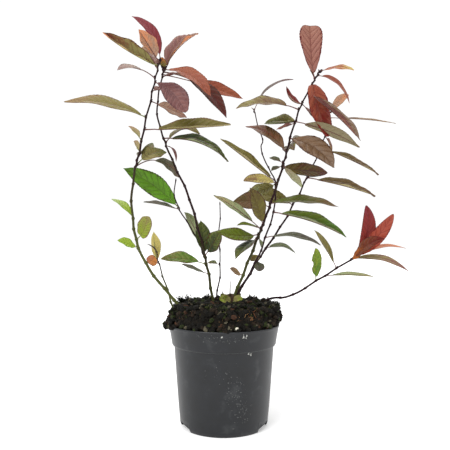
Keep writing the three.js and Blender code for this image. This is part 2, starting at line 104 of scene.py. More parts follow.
# Each cane: the points it passes through, its radius at foot and tip, its bark at foot and tip with
# the shares between which it turns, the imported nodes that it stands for, and its leaves. The figures
# are those of the part.
CANES = {
    "left": {
        "route": [
            (-54, -25, 168), (-119, -35, 253.5), (-137, -32, 341.5),
            (-122, -30, 432), (-107, -34, 496.5), (-94, -38, 550),
        ],
        "radius": (2.5, 1.2),
        "bark": ("green_bark", "dark_bark", 0.3, 0.62),
        "stems": ("cane_left", "cane_left_upper"),
        "foliage": ("foliage_left_low", "foliage_left_top"),
        "leaves": [
            leaf(270, (-26, -25, 12), 18, 0.63, 1, "lime", 5),
            leaf(283, (17, -14, 34), 25, 0.94, -6, "lime_brown", form="square"),
            leaf(314, (-36, 16, 30), 16, 0.58, 5.5, "fresh", 5),
            leaf(390.5, (60, 66, -8), 24, 0.85, 18, "grey_olive", 38, form="broad"),
            leaf(393.5, (41, 33, 24), 30, 0.88, 7.5, "khaki_green", 12),
            leaf(400.5, (18, 70, 24), 26, 0.3, 10, "grey_olive", 8),
            leaf(411, (-11, 12, 20), 14, -0.6, 2, "sand", 5),
            leaf(429, (-17, -12, 20), 15, -0.5, 3, "sand", 5),
            leaf(446, (129, -20, 3), 36, 0.58, -0.5, "olive_yellow", 20, fold=37),
            leaf(464, (-113, -32, 16), 32, 0.64, 9.5, "tan_olive", 6),
            leaf(487.5, (50, 56, -12), 26, 0.78, 1, "rose_tan", 14),
            leaf(501.5, (31, 74, -1), 28, 0.3, 12, "bronze", 8),
            leaf(515, (47, -28, -51), 34, 0.98, 7, "purple", 4, form="broad"),
            leaf(521, (-47, -46, -2), 20, 0.49, 9, "pale_mauve", 24),
            leaf(532, (-32, 60, 50), 28, 0.3, 8, "bronze", 6),
            leaf(539, (-75, -30, 38), 35, 0.74, -3.5, "khaki_to_rust", 4, fold=46),
            leaf(543, (-27, -26, 40), 30, -0.7, 0, "peach_front"),
            leaf(548, (-44, 10, 68), 19, 0.88, 12.5, "plum", 6),
        ],
    },
    "sprout": {
        "route": [(-73, -14, 166), (-86, -12, 207), (-99.5, -20, 251)],
        "radius": (1.6, 1),
        "bark": ("green_bark", "dark_bark", 0.5, 1.0),
        "stems": ("cane_sprout",),
        "foliage": ("foliage_sprout",),
        "leaves": [
            leaf(246, (-18, -14, 8), 19, 0.81, 0.5, "orange_brown", 4, form="oval"),
            leaf(248, (-7, 4, 47), 20, -0.85, -1.5, "straw", 5),
            leaf(250, (-15, -5, 26), 5, 0.3, 6, "withered", 5),
        ],
    },
    "inner": {
        "route": [
            (-16, 22, 176), (-30, 17, 255), (-53, 6, 344),
            (-87, 10, 422), (-105.5, 22, 484), (-96.5, 35, 560),
        ],
        "radius": (2.3, 1.2),
        "bark": ("green_bark", "dark_bark", 0.0, 0.28),
        "stems": ("cane_inner", "cane_inner_upper", "cane_inner_top"),
        "foliage": ("foliage_inner_low", "foliage_inner_middle", "foliage_inner_top"),
        "leaves": [
            leaf(228, (-42, -30, 18), 16, 0.29, 0, "slate"),
            leaf(243, (-71, -13, 9), 27, 0.64, 5.5, "green_tan", 12),
            leaf(254, (-8, 12, 59), 28, 0.91, -0.5, "olive_green"),
            leaf(256, (26, -19, 42), 33, 0.77, -1, "deep_green"),
            leaf(428.5, (18, -19, -27), 9, 0.4, 8, "mauve_back", 5),
            leaf(433.5, (51, 60, 26), 28, 0.3, 14, "olive", 10),
            leaf(440.5, (103, 22, -33), 40, 0.46, 13, "deep_green", 12, fold=46),
            leaf(541.5, (53, 70, 7), 28, 0.3, 12, "bronze", 8),
            leaf(546.5, (131, 34, -31), 26, 0.88, 3.5, "brick", 50),
            leaf(550.5, (101, -10, -76), 30, 0.82, 17.2, "dark_red_brown", 42),
            leaf(554.5, (77, -40, -54), 30, 0.8, 13.2, "rust", 8),
            leaf(557, (1, -14, 13), 17, 0.95, 0.5, "bud", 2, form="oval"),
            leaf(558, (53, 42, 71), 49, 0.69, 6.5, "peach_back_mauve", 4, fold=51),
        ],
    },
    "branch": {
        "route": [
            (-29, 20, 246), (-37, 25, 272), (-51, 24, 298),
            (-68, 19, 326), (-77, 10, 351), (-75, 3, 376),
        ],
        "radius": (1.3, 0.9),
        "bark": ("dark_bark", "dark_bark", 0.0, 1.0),
        "stems": (),
        "foliage": ("foliage_branch",),
        "leaves": [
            leaf(274, (-29, 46, 54), 22, -0.84, 5, "grey_green", 6),
            leaf(330, (-53, -21, 10), 18, 0.33, 2, "slate", 6),
            leaf(331, (-87, -12, 62), 36, 0.97, 6, "vivid", 8),
        ],
    },
    "twig": {
        "route": [(-14, 26, 178), (-6, 34, 235.5), (-8, 44, 282), (-6, 56, 343.5)],
        "radius": (1.4, 0.8),
        "bark": ("dark_bark", "dark_bark", 0.0, 1.0),
        "stems": ("cane_twig",),
        "foliage": ("foliage_twig",),
        "leaves": [
            leaf(241.5, (-20, -14, 4), 12, -0.6, 2, "pale_green", 6),
        ],
    },
    "right": {
        "route": [
            (11, -2, 184), (47, -13, 275), (80.5, -25, 367.5),
            (108, -39, 466.5), (139.5, -52, 529),
        ],
        "radius": (2.5, 1.1),
        "bark": ("green_bark", "dark_bark", 0.1, 0.35),
        "stems": ("cane_right", "cane_right_middle", "cane_right_upper"),
        "foliage": ("foliage_right_low", "foliage_right_middle", "foliage_right_top"),
        "leaves": [
            leaf(228, (-20, -16, 12), 14, 0.59, -1, "tan", 5, form="oval"),
            leaf(284, (-34, -55, -28), 24, 0.53, 4, "deep_green", 8),
            leaf(286, (4, -8, -15), 9, 0.6, 3, "grey_green", 4),
            leaf(290, (-63, -48, 4), 30, 0.68, -3, "green_edge", 8),
            leaf(297, (-72, -19, 52), 20, -0.57, 4, "pale_green", 18),
            leaf(299, (-37, -28, 5), 14, 0.35, 3, "green_edge", 6),
            leaf(305, (-22, -38, 53), 28, 0.9, 3, "olive", 5),
            leaf(331, (-54, 48, 12), 30, 0.98, 5, "brown", 8),
            leaf(337, (102, -9, -6), 26, 0.54, 7, "green_brown", 4),
            leaf(389.5, (73, 33, -3), 26, 0.89, -0.5, "dark_mottled", 1, form="oval"),
            leaf(391.5, (-15, 18, -4), 10, -0.5, 2, "slate", 5),
            leaf(393.5, (21, -48, -38), 19, 0.76, -0.5, "pale_vein", 6),
            leaf(396.5, (-22, -16, 6), 9, -0.6, 2, "slate", 5),
            leaf(405, (20, 70, 22), 26, 0.3, 12, "olive_brown", 10),
            leaf(413, (-59, 48, 47), 30, 0.76, 8.5, "taupe_back", 6),
            leaf(425, (46, 40, -3), 28, 0.3, 12, "olive_brown", 8),
            leaf(433, (58, -42, -49), 40, 0.87, 8, "brown_mauve", 3),
            leaf(454.5, (-29, -18, -13), 13, -0.22, 0, "mauve_tan", 6),
            leaf(456.5, (90, -28, -42), 28, -0.39, 5.5, "stone_back", 14),
            leaf(457.5, (-42, 56, 7), 35, 0.68, -1, "olive_top", 3, form="oval", fold=45),
            leaf(473.5, (-92, 20, 6), 30, 0.64, 10, "taupe_brown", 18),
            leaf(482, (25, 14, -25), 12, -0.27, 1.5, "dusty", 8),
            leaf(482, (-21, 13, 29), 17, 0.66, -7.5, "dark_crimson", 1, fold=49),
            leaf(498, (67, -41, -78), 36, 0.44, 3.5, "mauve_tan", 14, fold=33),
            leaf(510.5, (25, 6, -77), 36, 0.92, -1.5, "crimson_bright", 1, form="full"),
            leaf(514.5, (-8, -3, 14), 5, 0.6, 1, "mauve_tan", 4),
            leaf(515.5, (-7, -2, 77), 37, 0.98, -1.5, "chevron", 8, form="blunt"),
            leaf(520.5, (55, 36, -32), 13, 0.75, 13, "salmon_dark", 8),
            leaf(526.5, (39, -44, -11), 14, 0.74, 4.5, "orange_tip", 6),
        ],
    },
    "slim": {
        "route": [
            (12, 3, 184), (52, 16, 252.5), (70.5, 25, 300.5),
            (79, 31, 325.5), (82.5, 37, 352.5), (83, 42, 377),
            (75.5, 46, 392), (67.5, 51, 409.5), (61, 58, 434.5),
            (63, 60, 445.5), (56, 67, 474), (49.5, 76, 500),
        ],
        "radius": (1.7, 0.9),
        "bark": ("dark_bark", "dark_bark", 0.0, 1.0),
        "stems": ("cane_slim", "cane_slim_upper"),
        "foliage": ("foliage_slim_low", "foliage_slim_top"),
        "leaves": [
            leaf(285, (86, -18, -11), 22, 0.38, 9.5, "slate", 12),
            leaf(326, (113, -20, -40), 38, 0.51, 6.5, "green_fresh", 12, fold=46),
            leaf(373.5, (-54, -32, 0), 22, 0.79, 4, "orange_curl", 4, form="oval"),
            leaf(377.5, (-89, -17, 65), 26, 0.55, 0, "khaki", 8, fold=48),
            leaf(495, (-6, 4, 9), 5, 0.5, 1, "mauve_dark", 4),
            leaf(498, (63, -25, 46), 12, 0.46, 15.5, "mauve_dark", 10),
            leaf(372, (-47, -12, -15), 26, 0.84, -3.5, "pale_body", 3),
        ],
    },
    "back": {
        "route": [
            (14, 10, 184), (53.5, 32, 248), (99, 53, 313.5),
            (140, 68, 388.5), (165.5, 79, 445.5), (181, 86, 501.5),
        ],
        "radius": (2.1, 1),
        "bark": ("dark_bark", "dark_bark", 0.0, 1.0),
        "stems": ("cane_back", "cane_back_middle", "cane_back_upper"),
        "foliage": ("foliage_back_low", "foliage_back_middle", "foliage_back_top"),
        "leaves": [
            leaf(247, (4, -8, -15), 18, 0.95, 3, "slate", 2, form="broad"),
            leaf(255, (-17, -13, -7), 14, 0.8, 2, "olive", 2),
            leaf(268, (52, 18, -10), 18, 0.4, 8.5, "grey_green", 6),
            leaf(339.5, (-69, 36, 22), 28, 0.92, 4.5, "khaki", 6),
            leaf(377, (34, 30, 14), 26, 0.3, 12, "dark_mottled", 10),
            leaf(385, (119, 18, -29), 38, 0.48, 3, "brown_top", 16, fold=47),
            leaf(438, (109, 34, -43), 28, 0.52, 2.5, "brown_top", 20, fold=39),
            leaf(455.5, (14, 20, -33), 22, 0.3, 10, "bronze", 8),
            leaf(488, (118, 16, -6), 16, 0.38, 2.5, "stone_back", 14),
            leaf(498.5, (24, -26, 22), 17, 0.9, 4.5, "tan_peach", 5, form="oval"),
        ],
    },
    "runner": {
        "route": [
            (47, 26, 175), (74, 20, 189.5), (94.5, 14, 192),
            (112.5, 9, 199), (127.5, 4, 209), (143, -1, 219.5),
            (171, -11, 238.5), (198, -21, 257),
        ],
        "radius": (1.9, 1.4),
        "bark": ("dark_bark", "dark_bark", 0.0, 1.0),
        "stems": ("cane_runner", "cane_runner_end"),
        "foliage": ("foliage_runner", "foliage_runner_tip"),
        "leaves": [
            leaf(219, (-5, -28, 51), 19, 0.95, 4, "yellow_green", 6, form="bitten"),
            leaf(227, (70, -21, 0), 16, -0.45, 3, "pale_green", 8),
            leaf(239, (-36, -18, 58), 18, 0.62, 3.5, "khaki"),
            leaf(252, (13, -22, 24), 11, 0.83, -3, "red_brown", 3),
            leaf(253, (81, -19, -17), 19, 0.51, 10.5, "sand_red", 6),
            leaf(254, (96, 48, 14), 9, 0.62, 10.5, "peach", 8),
            leaf(255, (31, -56, 30), 22, 0.6, 5, "crimson", 3),
            leaf(255.5, (52, -20, 65), 22, 0.97, -4.5, "red", 6, form="oval"),
            leaf(256, (15, -4, 78), 22, 0.97, -11, "mauve_red", 6, form="oval"),
        ],
    },
}

TINTS = {
    "lime": (160, 182, 78),
    "yellow_green": (134, 150, 58),
    "fresh_green": (104, 138, 48),
    "bright_green": (98, 144, 48),
    "leaf_green": (86, 118, 46),
    "olive_green": (90, 98, 48),
    "deep_green": (66, 72, 36),
    "dark_green": (48, 58, 34),
    "grey_green": (112, 120, 86),
    "pale_green": (152, 160, 122),
    "mint": (176, 186, 142),
    "olive": (106, 98, 50),
    "khaki": (138, 130, 84),
    "sand": (166, 154, 116),
    "stone": (146, 136, 110),
    "straw": (192, 178, 112),
    "tan": (150, 124, 92),
    "pinkish_tan": (174, 142, 122),
    "taupe": (118, 98, 82),
    "brown": (108, 82, 58),
    "olive_brown": (90, 76, 42),
    "dark_brown": (74, 50, 36),
    "black_brown": (46, 32, 26),
    "red_brown": (110, 60, 42),
    "maroon": (90, 38, 36),
    "dark_crimson": (104, 34, 30),
    "crimson": (122, 46, 40),
    "plum": (122, 52, 58),
    "red": (148, 66, 50),
    "bright_red": (158, 82, 68),
    "brick": (140, 77, 60),
    "rust": (148, 86, 64),
    "salmon": (178, 116, 98),
    "peach": (212, 146, 110),
    "orange": (204, 138, 84),
    "mauve": (126, 88, 84),
    "purple": (98, 64, 64),
    "dark_purple": (82, 52, 54),
    "dusty": (160, 134, 128),
    "pale_mauve": (186, 168, 160),
    "slate": (98, 100, 80),
    "grey": (112, 104, 98),
    "withered": (66, 54, 44),
    "rust_orange": (172, 104, 58),
    "lime_cream": (186, 180, 116),
    "rose": (156, 112, 98),
    "dusty_rose": (144, 98, 88),
    "oxblood": (78, 40, 30),
    "fresh_olive": (92, 104, 38),
}

# Each look: tints of the upper side at its base and its tip, of its edge and veins, and of the
# underside at the base and the tip.
LOOKS = {
    "lime": "lime lime fresh_green pale_green mint",
    "lime_brown": "yellow_green khaki brown pale_green sand",
    "fresh": "lime mint fresh_green pale_green mint",
    "vivid": "bright_green leaf_green deep_green pale_green sand",
    "yellow_green": "leaf_green yellow_green olive grey_green pale_green",
    "green_tan": "leaf_green khaki olive_brown grey_green khaki",
    "olive_green": "deep_green olive_green dark_green pale_green grey_green",
    "deep_green": "dark_green olive_green dark_brown pale_green grey_green",
    "grey_olive": "slate taupe olive_brown grey_green stone",
    "grey_green": "grey_green slate deep_green pale_green grey_green",
    "pale_green": "slate olive_green deep_green pale_green sand",
    "slate": "slate grey deep_green slate slate",
    "khaki": "olive khaki olive_brown sand sand",
    "khaki_green": "khaki olive_green brown pale_green sand",
    "olive": "olive olive_brown dark_brown stone khaki",
    "olive_yellow": "olive olive brown khaki sand",
    "olive_brown": "olive_brown olive dark_brown khaki taupe",
    "green_brown": "olive_green brown dark_brown grey_green tan",
    "tan_olive": "khaki tan brown sand pinkish_tan",
    "tan": "tan taupe brown sand tan",
    "sand": "khaki sand tan sand pinkish_tan",
    "straw": "khaki straw tan straw straw",
    "stone_back": "brown tan brown stone stone",
    "taupe_back": "brown red_brown dark_brown taupe taupe",
    "brown": "brown olive_brown dark_brown sand taupe",
    "brown_top": "olive_brown brown dark_brown sand sand",
    "brown_mauve": "brown taupe dark_brown tan taupe",
    "bronze": "red_brown brown maroon tan pinkish_tan",
    "dark_red_brown": "oxblood maroon black_brown tan pinkish_tan",
    "purple": "purple mauve dark_purple mauve dusty",
    "mauve_back": "purple mauve maroon mauve dusty",
    "pale_mauve": "pale_mauve dusty grey pale_mauve dusty",
    "mauve_tan": "brown taupe dark_brown mauve rose",
    "dusty": "dusty salmon mauve dusty pinkish_tan",
    "plum": "plum plum maroon salmon salmon",
    "rust": "rust brick red_brown pinkish_tan salmon",
    "brick": "brick rust red_brown pinkish_tan salmon",
    "dark_crimson": "dark_crimson dark_crimson maroon pinkish_tan dusty",
    "crimson": "red_brown dark_crimson oxblood pinkish_tan salmon",
    "red": "red bright_red dark_crimson salmon peach",
    "mauve_red": "crimson plum maroon dusty mauve",
    "orange_brown": "orange salmon brown peach tan",
    "red_brown": "rust_orange red_brown maroon pinkish_tan salmon",
    "peach": "salmon peach brick peach pale_mauve",
    "withered": "withered grey withered withered withered",
    "khaki_to_rust": "khaki red_brown oxblood lime_cream peach",
    "peach_front": "peach salmon rust pinkish_tan peach",
    "rose_tan": "pinkish_tan rose taupe pinkish_tan rose",
    "peach_back_mauve": "mauve rose brown peach peach",
    "dark_mottled": "olive_brown oxblood black_brown taupe brown",
    "pale_vein": "stone pale_green olive pale_green stone",
    "chevron": "dusty_rose rose maroon rose rose",
    "salmon_dark": "brick rose crimson salmon peach",
    "tan_peach": "pinkish_tan peach tan peach pinkish_tan",
    "crimson_bright": "brick crimson dark_crimson salmon salmon",
    "taupe_brown": "brown khaki dark_brown stone tan",
    "green_edge": "fresh_olive fresh_olive dark_brown grey_green khaki",
    "green_fresh": "fresh_olive leaf_green deep_green pale_green stone",
    "orange_curl": "straw tan dark_brown straw sand",
    "mauve_dark": "grey purple dark_brown purple grey",
    "sand_red": "khaki mauve red_brown sand pinkish_tan",
    "pale_body": "khaki pale_green olive pale_green sand",
    "olive_top": "olive olive_green olive_brown grey_green pale_green",
    "basal": "khaki yellow_green olive yellow_green olive_green",
    "orange_tip": "rust straw rust_orange orange straw",
    "bud": "olive rust_orange brown khaki rust",
}

# Materials. A leaf blends two tints in a few steps, all a little darker and deeper than in the table.
BLEND_STEPS = 4
TINT_SHADE = 0.9
TINT_DEPTH = 1.1
# Roughness and shine of a leaf's upper side and underside, and its fine relief.
UPPER_GLOSS = (0.42, 0.16)
UNDER_GLOSS = (0.6, 0.06)
LEAF_GRAIN = {"scale": 700, "detail": 4, "strength": 0.5, "distance": 0.0006}
POT_GRAIN = {"scale": 300, "detail": 6, "strength": 0.1, "distance": 0.0006}
SOIL_GRAIN = {"scale": 700, "detail": 8, "strength": 0.9, "distance": 0.0012}
# Blotches of soil, scuffs of the pot, and streaks along the bark, which shift its colour this far.
SOIL_BLOTCHES = {"scale": 340, "detail": 8}
POT_SCUFFS = {"scale": 46, "detail": 9}
BARK_STREAKS = {"scale": 420, "detail": 5, "stretch": (1, 1, 0.12)}
STREAK_SHIFT = 0.9


def linear(colour):
    """An 8-bit screen colour as linear light, with alpha."""
    shares = [channel / 255 for channel in colour]
    return tuple(
        share / 12.92 if share <= 0.04045 else ((share + 0.055) / 1.055) ** 2.4 for share in shares
    ) + (1.0,)


def new_material(name, colour, roughness, specular=0.5):
    """A material of one colour, which is linear."""
    material = bpy.data.materials.new(name)
    material.use_nodes = True
    sockets = material.node_tree.nodes["Principled BSDF"].inputs
    sockets["Base Color"].default_value = colour
    sockets["Roughness"].default_value = roughness
    sockets["Specular IOR Level"].default_value = specular
    return material


def add_node(tree, kind, **sockets):
    """A shader node with values on its sockets, whose names have _ for a blank."""
    node = tree.nodes.new("ShaderNode" + kind)
    for name, value in sockets.items():
        node.inputs[name.replace("_", " ")].default_value = value
    return node


def link(tree, source, output, target, socket):
    """Joins an output of one node to a socket of another, both by name or number."""
    tree.links.new(source.outputs[output], target.inputs[socket])


def add_pattern(tree, scale, detail, stretch=(1, 1, 1)):
    """A noise pattern in the object's own space."""
    place = add_node(tree, "TexCoord")
    mapping = add_node(tree, "Mapping", Scale=stretch)
    pattern = add_node(tree, "TexNoise", Scale=scale, Detail=detail)
    link(tree, place, "Object", mapping, "Vector")
    link(tree, mapping, "Vector", pattern, "Vector")
    return pattern


def add_bump(tree, pattern, strength, distance):
    """Fine relief from a pattern."""
    bump = add_node(tree, "Bump", Strength=strength, Distance=distance)
    link(tree, pattern, "Fac", bump, "Height")
    link(tree, bump, "Normal", tree.nodes["Principled BSDF"], "Normal")


def add_grain(tree, grain):
    """Fine relief with a pattern of its own."""
    pattern = add_pattern(tree, grain["scale"], grain["detail"])
    add_bump(tree, pattern, grain["strength"], grain["distance"])


def add_ramp(tree, source, output, stops):
    """Base colours by a value: stops are (share, 8-bit colour)."""
    ramp = add_node(tree, "ValToRGB")
    elements = ramp.color_ramp.elements
    while len(elements) < len(stops):
        elements.new(0.5)
    for element, (share, colour) in zip(elements, stops):
        element.position = share
        element.color = linear(colour)
    link(tree, source, output, ramp, "Fac")
    link(tree, ramp, "Color", tree.nodes["Principled BSDF"], "Base Color")


leaf_materials = {}


def leaf_material(tint, other, step, upper):
    """The material of a tint, a few steps on the way to another one."""
    share = 0 if tint == other else step / BLEND_STEPS
    name = f"leaf_{tint}_{other}_{step}" if share else f"leaf_{tint}"
    name += "" if upper else "_under"
    if name not in leaf_materials:
        first = np.array(linear(TINTS[tint]))
        second = np.array(linear(TINTS[other]))
        colour = (first + (second - first) * share) * TINT_SHADE
        grey = colour[:3].mean()
        colour[:3] = np.clip(grey + (colour[:3] - grey) * TINT_DEPTH, 0, 1)
        colour[3] = 1
        leaf_materials[name] = new_material(name, tuple(colour), *(UPPER_GLOSS if upper else UNDER_GLOSS))
        add_grain(leaf_materials[name].node_tree, LEAF_GRAIN)
    return leaf_materials[name]


def soil_material(name, dark, light, roughness=0.9):
    """Anything dull and crumbly, in blotches of a dark and a light colour."""
    material = new_material(name, linear(dark), roughness, 0.15)
    tree = material.node_tree
    add_ramp(tree, add_pattern(tree, **SOIL_BLOTCHES), "Fac", [(0.35, dark), (0.7, light)])
    add_grain(tree, SOIL_GRAIN)
    return material


def bark_material(name, low, high, low_height, high_height):
    """Thin smooth bark: the colour turns from one to the other up the cane, with streaks."""
    material = new_material(name, linear(high), 0.5, 0.12)
    tree = material.node_tree
    place = add_node(tree, "TexCoord")
    parts = add_node(tree, "SeparateXYZ")
    climb = add_node(tree, "MapRange", From_Min=low_height, From_Max=high_height)
    streak = add_pattern(tree, **BARK_STREAKS)
    wander = add_node(tree, "Math")
    wander.operation = "MULTIPLY_ADD"
    wander.inputs[1].default_value = STREAK_SHIFT
    wander.inputs[2].default_value = -STREAK_SHIFT / 2
    total = add_node(tree, "Math")
    total.operation = "ADD"
    total.use_clamp = True
    link(tree, place, "Object", parts, "Vector")
    link(tree, parts, "Z", climb, "Value")
    link(tree, streak, "Fac", wander, 0)
    link(tree, climb, "Result", total, 0)
    link(tree, wander, "Value", total, 1)
    add_ramp(tree, total, "Value", [(0, low), (1, high)])
    add_bump(tree, streak, 0.5, 0.0004)
    return material


def normalised(vector):
    return vector / max(1e-12, float(np.linalg.norm(vector)))


def between(chance, span, power=1):
    """A random number from the least to the greatest of a span."""
    least, greatest = span
    return least + (greatest - least) * chance.random() ** power


def about(chance, middle, spread):
    """A random number round a middle one, seldom as far off as the spread."""
    return middle + spread * (chance.random() + chance.random() - 1)


def turns(sides):
    """The angles of a ring's points."""
    return [math.tau * k / sides for k in range(sides)]


def polar(radius, angle, height):
    """A point at a radius and an angle about the upright axis."""
    return np.array([radius * math.cos(angle), radius * math.sin(angle), height])


def ring(centre, side, other, radius, sides):
    """Points about a centre, in the plane of two directions."""
    return [centre + (side * math.cos(turn) + other * math.sin(turn)) * radius for turn in turns(sides)]


def bridge(rows, sides, head=True):
    """Faces of a tube whose rings of points follow one another, with its caps."""
    faces = []
    for row in range(rows):
        for k in range(sides):
            a = row * sides + k
            b = row * sides + (k + 1) % sides
            faces.append((a, b, b + sides, a + sides))
    faces.append(tuple(range(sides))[::-1])
    if head:
        faces.append(tuple(rows * sides + k for k in range(sides)))
    return faces


class Skin:
    """Collects points, faces, materials and a map, and makes one object of them."""

    def __init__(self):
        self.points = []
        self.faces = []
        self.slots = []
        self.materials = []
        self.corners = []

    def slot_of(self, material):
        if material not in self.materials:
            self.materials.append(material)
        return self.materials.index(material)

    def add(self, points, faces, slot, corners=()):
        """Adds points, faces as index rows, a slot for all the faces or one for each, and the map."""
        start = len(self.points)
        self.points.extend(tuple(np.asarray(point) * MM) for point in points)
        self.faces.extend(tuple(start + k for k in face) for face in faces)
        self.slots.extend(slot if isinstance(slot, list) else [slot] * len(faces))
        self.corners.extend(corners)

    def finish(self, name, smooth=True):
        mesh = bpy.data.meshes.new(name)
        mesh.from_pydata(self.points, [], self.faces)
        for material in self.materials:
            mesh.materials.append(material)
        mesh.polygons.foreach_set("material_index", self.slots)
        mesh.polygons.foreach_set("use_smooth", [smooth] * len(self.faces))
        if self.corners:
            layer = mesh.uv_layers.new(name="OFBake")
            layer.data.foreach_set("uv", np.array(self.corners, dtype=np.float32).ravel())
        mesh.update()
        piece = bpy.data.objects.new(name, mesh)
        bpy.context.scene.collection.objects.link(piece)
        return piece


class Route:
    """A curve through points, read by its share of the length."""

    def __init__(self, points, cuts=400):
        knots = np.array(points, dtype=float)
        padded = np.vstack([2 * knots[0] - knots[1], knots, 2 * knots[-1] - knots[-2]])
        spans = len(knots) - 1
        rows = []
        for cut in range(cuts + 1):
            place = cut / cuts * spans
            span = min(int(place), spans - 1)
            t = place - span
            p0, p1, p2, p3 = padded[span : span + 4]
            v0 = (p2 - p0) / 2
            v1 = (p3 - p1) / 2
            cubic = (2 * p1 - 2 * p2 + v0 + v1) * t**3
            square = (-3 * p1 + 3 * p2 - 2 * v0 - v1) * t**2
            rows.append(cubic + square + v0 * t + p1)
        self.measure(rows)

    def measure(self, rows):
        self.rows = np.array(rows)
        steps = np.linalg.norm(np.diff(self.rows, axis=0), axis=1)
        self.lengths = np.concatenate([[0], np.cumsum(steps)])
        self.length = float(self.lengths[-1])

    def at(self, share):
        want = share * self.length
        return np.array([np.interp(want, self.lengths, self.rows[:, k]) for k in range(3)])

    def along(self, share):
        return normalised(self.at(min(1.0, share + 1e-3)) - self.at(max(0.0, share - 1e-3)))

    def share_at_height(self, height):
        return float(np.interp(height, self.rows[:, 2], self.lengths)) / self.length


class Bend(Route):
    """The same for the arched midrib of a leaf."""

    def __init__(self, start, middle, end, cuts=80):
        t = np.linspace(0, 1, cuts + 1)[:, None]
        self.measure((1 - t) ** 2 * start + 2 * (1 - t) * t * middle + t**2 * end)


# Leaves. Columns on each side of the midrib, and how thick the blade is.
LEAF_COLUMNS = 8
LEAF_THICK = 0.36
# A field between two veins is this many rows long, and a vein or midrib this much of the blade.
FIELD_ROWS = 4
VEIN_HALF = 0.08
MIDRIB_HALF = 0.05
FIRST_ROW = 0.012
# How far veins slant forward, by form or else, and how far the fields swell between them.
VEIN_SLANT = {"blunt": 0.3}
USUAL_SLANT = 0.19
QUILT = 0.1
GROOVE = 0.03
# Width at every other point of the edge, which makes its teeth.
TEETH = (0.985, 1.02)
# The outer part of the upper side, which takes the edge's colour.
EDGE_FROM = 0.9
# Where the outline turns to the tip, and how much a pointed leaf narrows from there.
TIP_FROM = 0.9
TIP_NARROWS = 0.35
# How strongly broad and fine blotches move the colour along.
MOTTLE = 0.7
FINE_MOTTLE = 0.5
# The spans that each leaf's own shape is drawn from: pairs of veins, depth and number of the waves
# along it, curl, twist, how far the colour of its base spreads, and the place of its blotches.
VEIN_PAIRS = (6, 9)
WAVE_DEPTH = (0.03, 0.08)
WAVE_COUNT = (1.6, 3.0)
CURL = (-0.14, 0.26)
TWIST = (-0.1, 0.1)
SPREAD = (0, 0.3)
BLOTCH_PLACE = 90
# Bites out of one side of a bitten leaf.
BITE_COUNT = 14
BITE_DEPTH = 0.45
STALK_ROWS = 22
STALK_SIDES = 7
STALK_RADIUS = 0.85
# Where a leaf of each form is widest, how full its outline is, and how blunt its tip.
FORMS = {
    "pointed": (0.47, 0.92, 0.0),
    "oval": (0.5, 0.66, 0.3),
    "broad": (0.6, 0.7, 0.45),
    "blunt": (0.76, 0.25, 0.0),
    "square": (0.52, 0.3, 0.0),
    "full": (0.42, 0.5, 0.15),
    "bitten": (0.5, 0.6, 0.1),
}
# The map has this many cells a side, one for each leaf of a piece, with a margin round each.
CELLS = 6
CELL_MARGIN = 0.06


def outline(share, form):
    """Half width at a share of the blade's length, from 0 to 1."""
    widest, fullness, blunt = FORMS[form]
    power = math.log(0.5) / math.log(widest)
    body = math.sin(math.pi * min(1.0, share) ** power) ** fullness if share < 1 else 0.0
    past = (share - TIP_FROM) / (1 - TIP_FROM)
    if form == "pointed" and past > 0:
        body *= 1 - TIP_NARROWS * past
    if blunt and past > 0:
        body = max(body, blunt * math.sqrt(max(0.0, 1 - past**2)))
    return body


def face_direction(chord, turn):
    """The way the upper face of a leaf looks, square to its chord."""
    front = normalised(chord * chord[1] - Y_AXIS)
    upward = normalised(np.cross(chord, front))
    if upward[2] < 0:
        upward = -upward
    return upward * math.sqrt(1 - turn * turn) + front * turn


def row_places(pairs):
    """Rows of the blade along its veins: a narrow strip for each pair of veins, wider ones between."""
    places = [0.0]
    strips = []
    for pair in range(1, pairs + 2):
        near = (pair - VEIN_HALF) / (pairs + 1)
        start = places[-1]
        for cut in range(1, FIELD_ROWS + 1):
            places.append(start + (min(1.0, near) - start) * cut / FIELD_ROWS)
            strips.append(False)
        if pair <= pairs:
            places.append((pair + VEIN_HALF) / (pairs + 1))
            strips.append(True)
    places[-1] = 1.0
    return places, strips


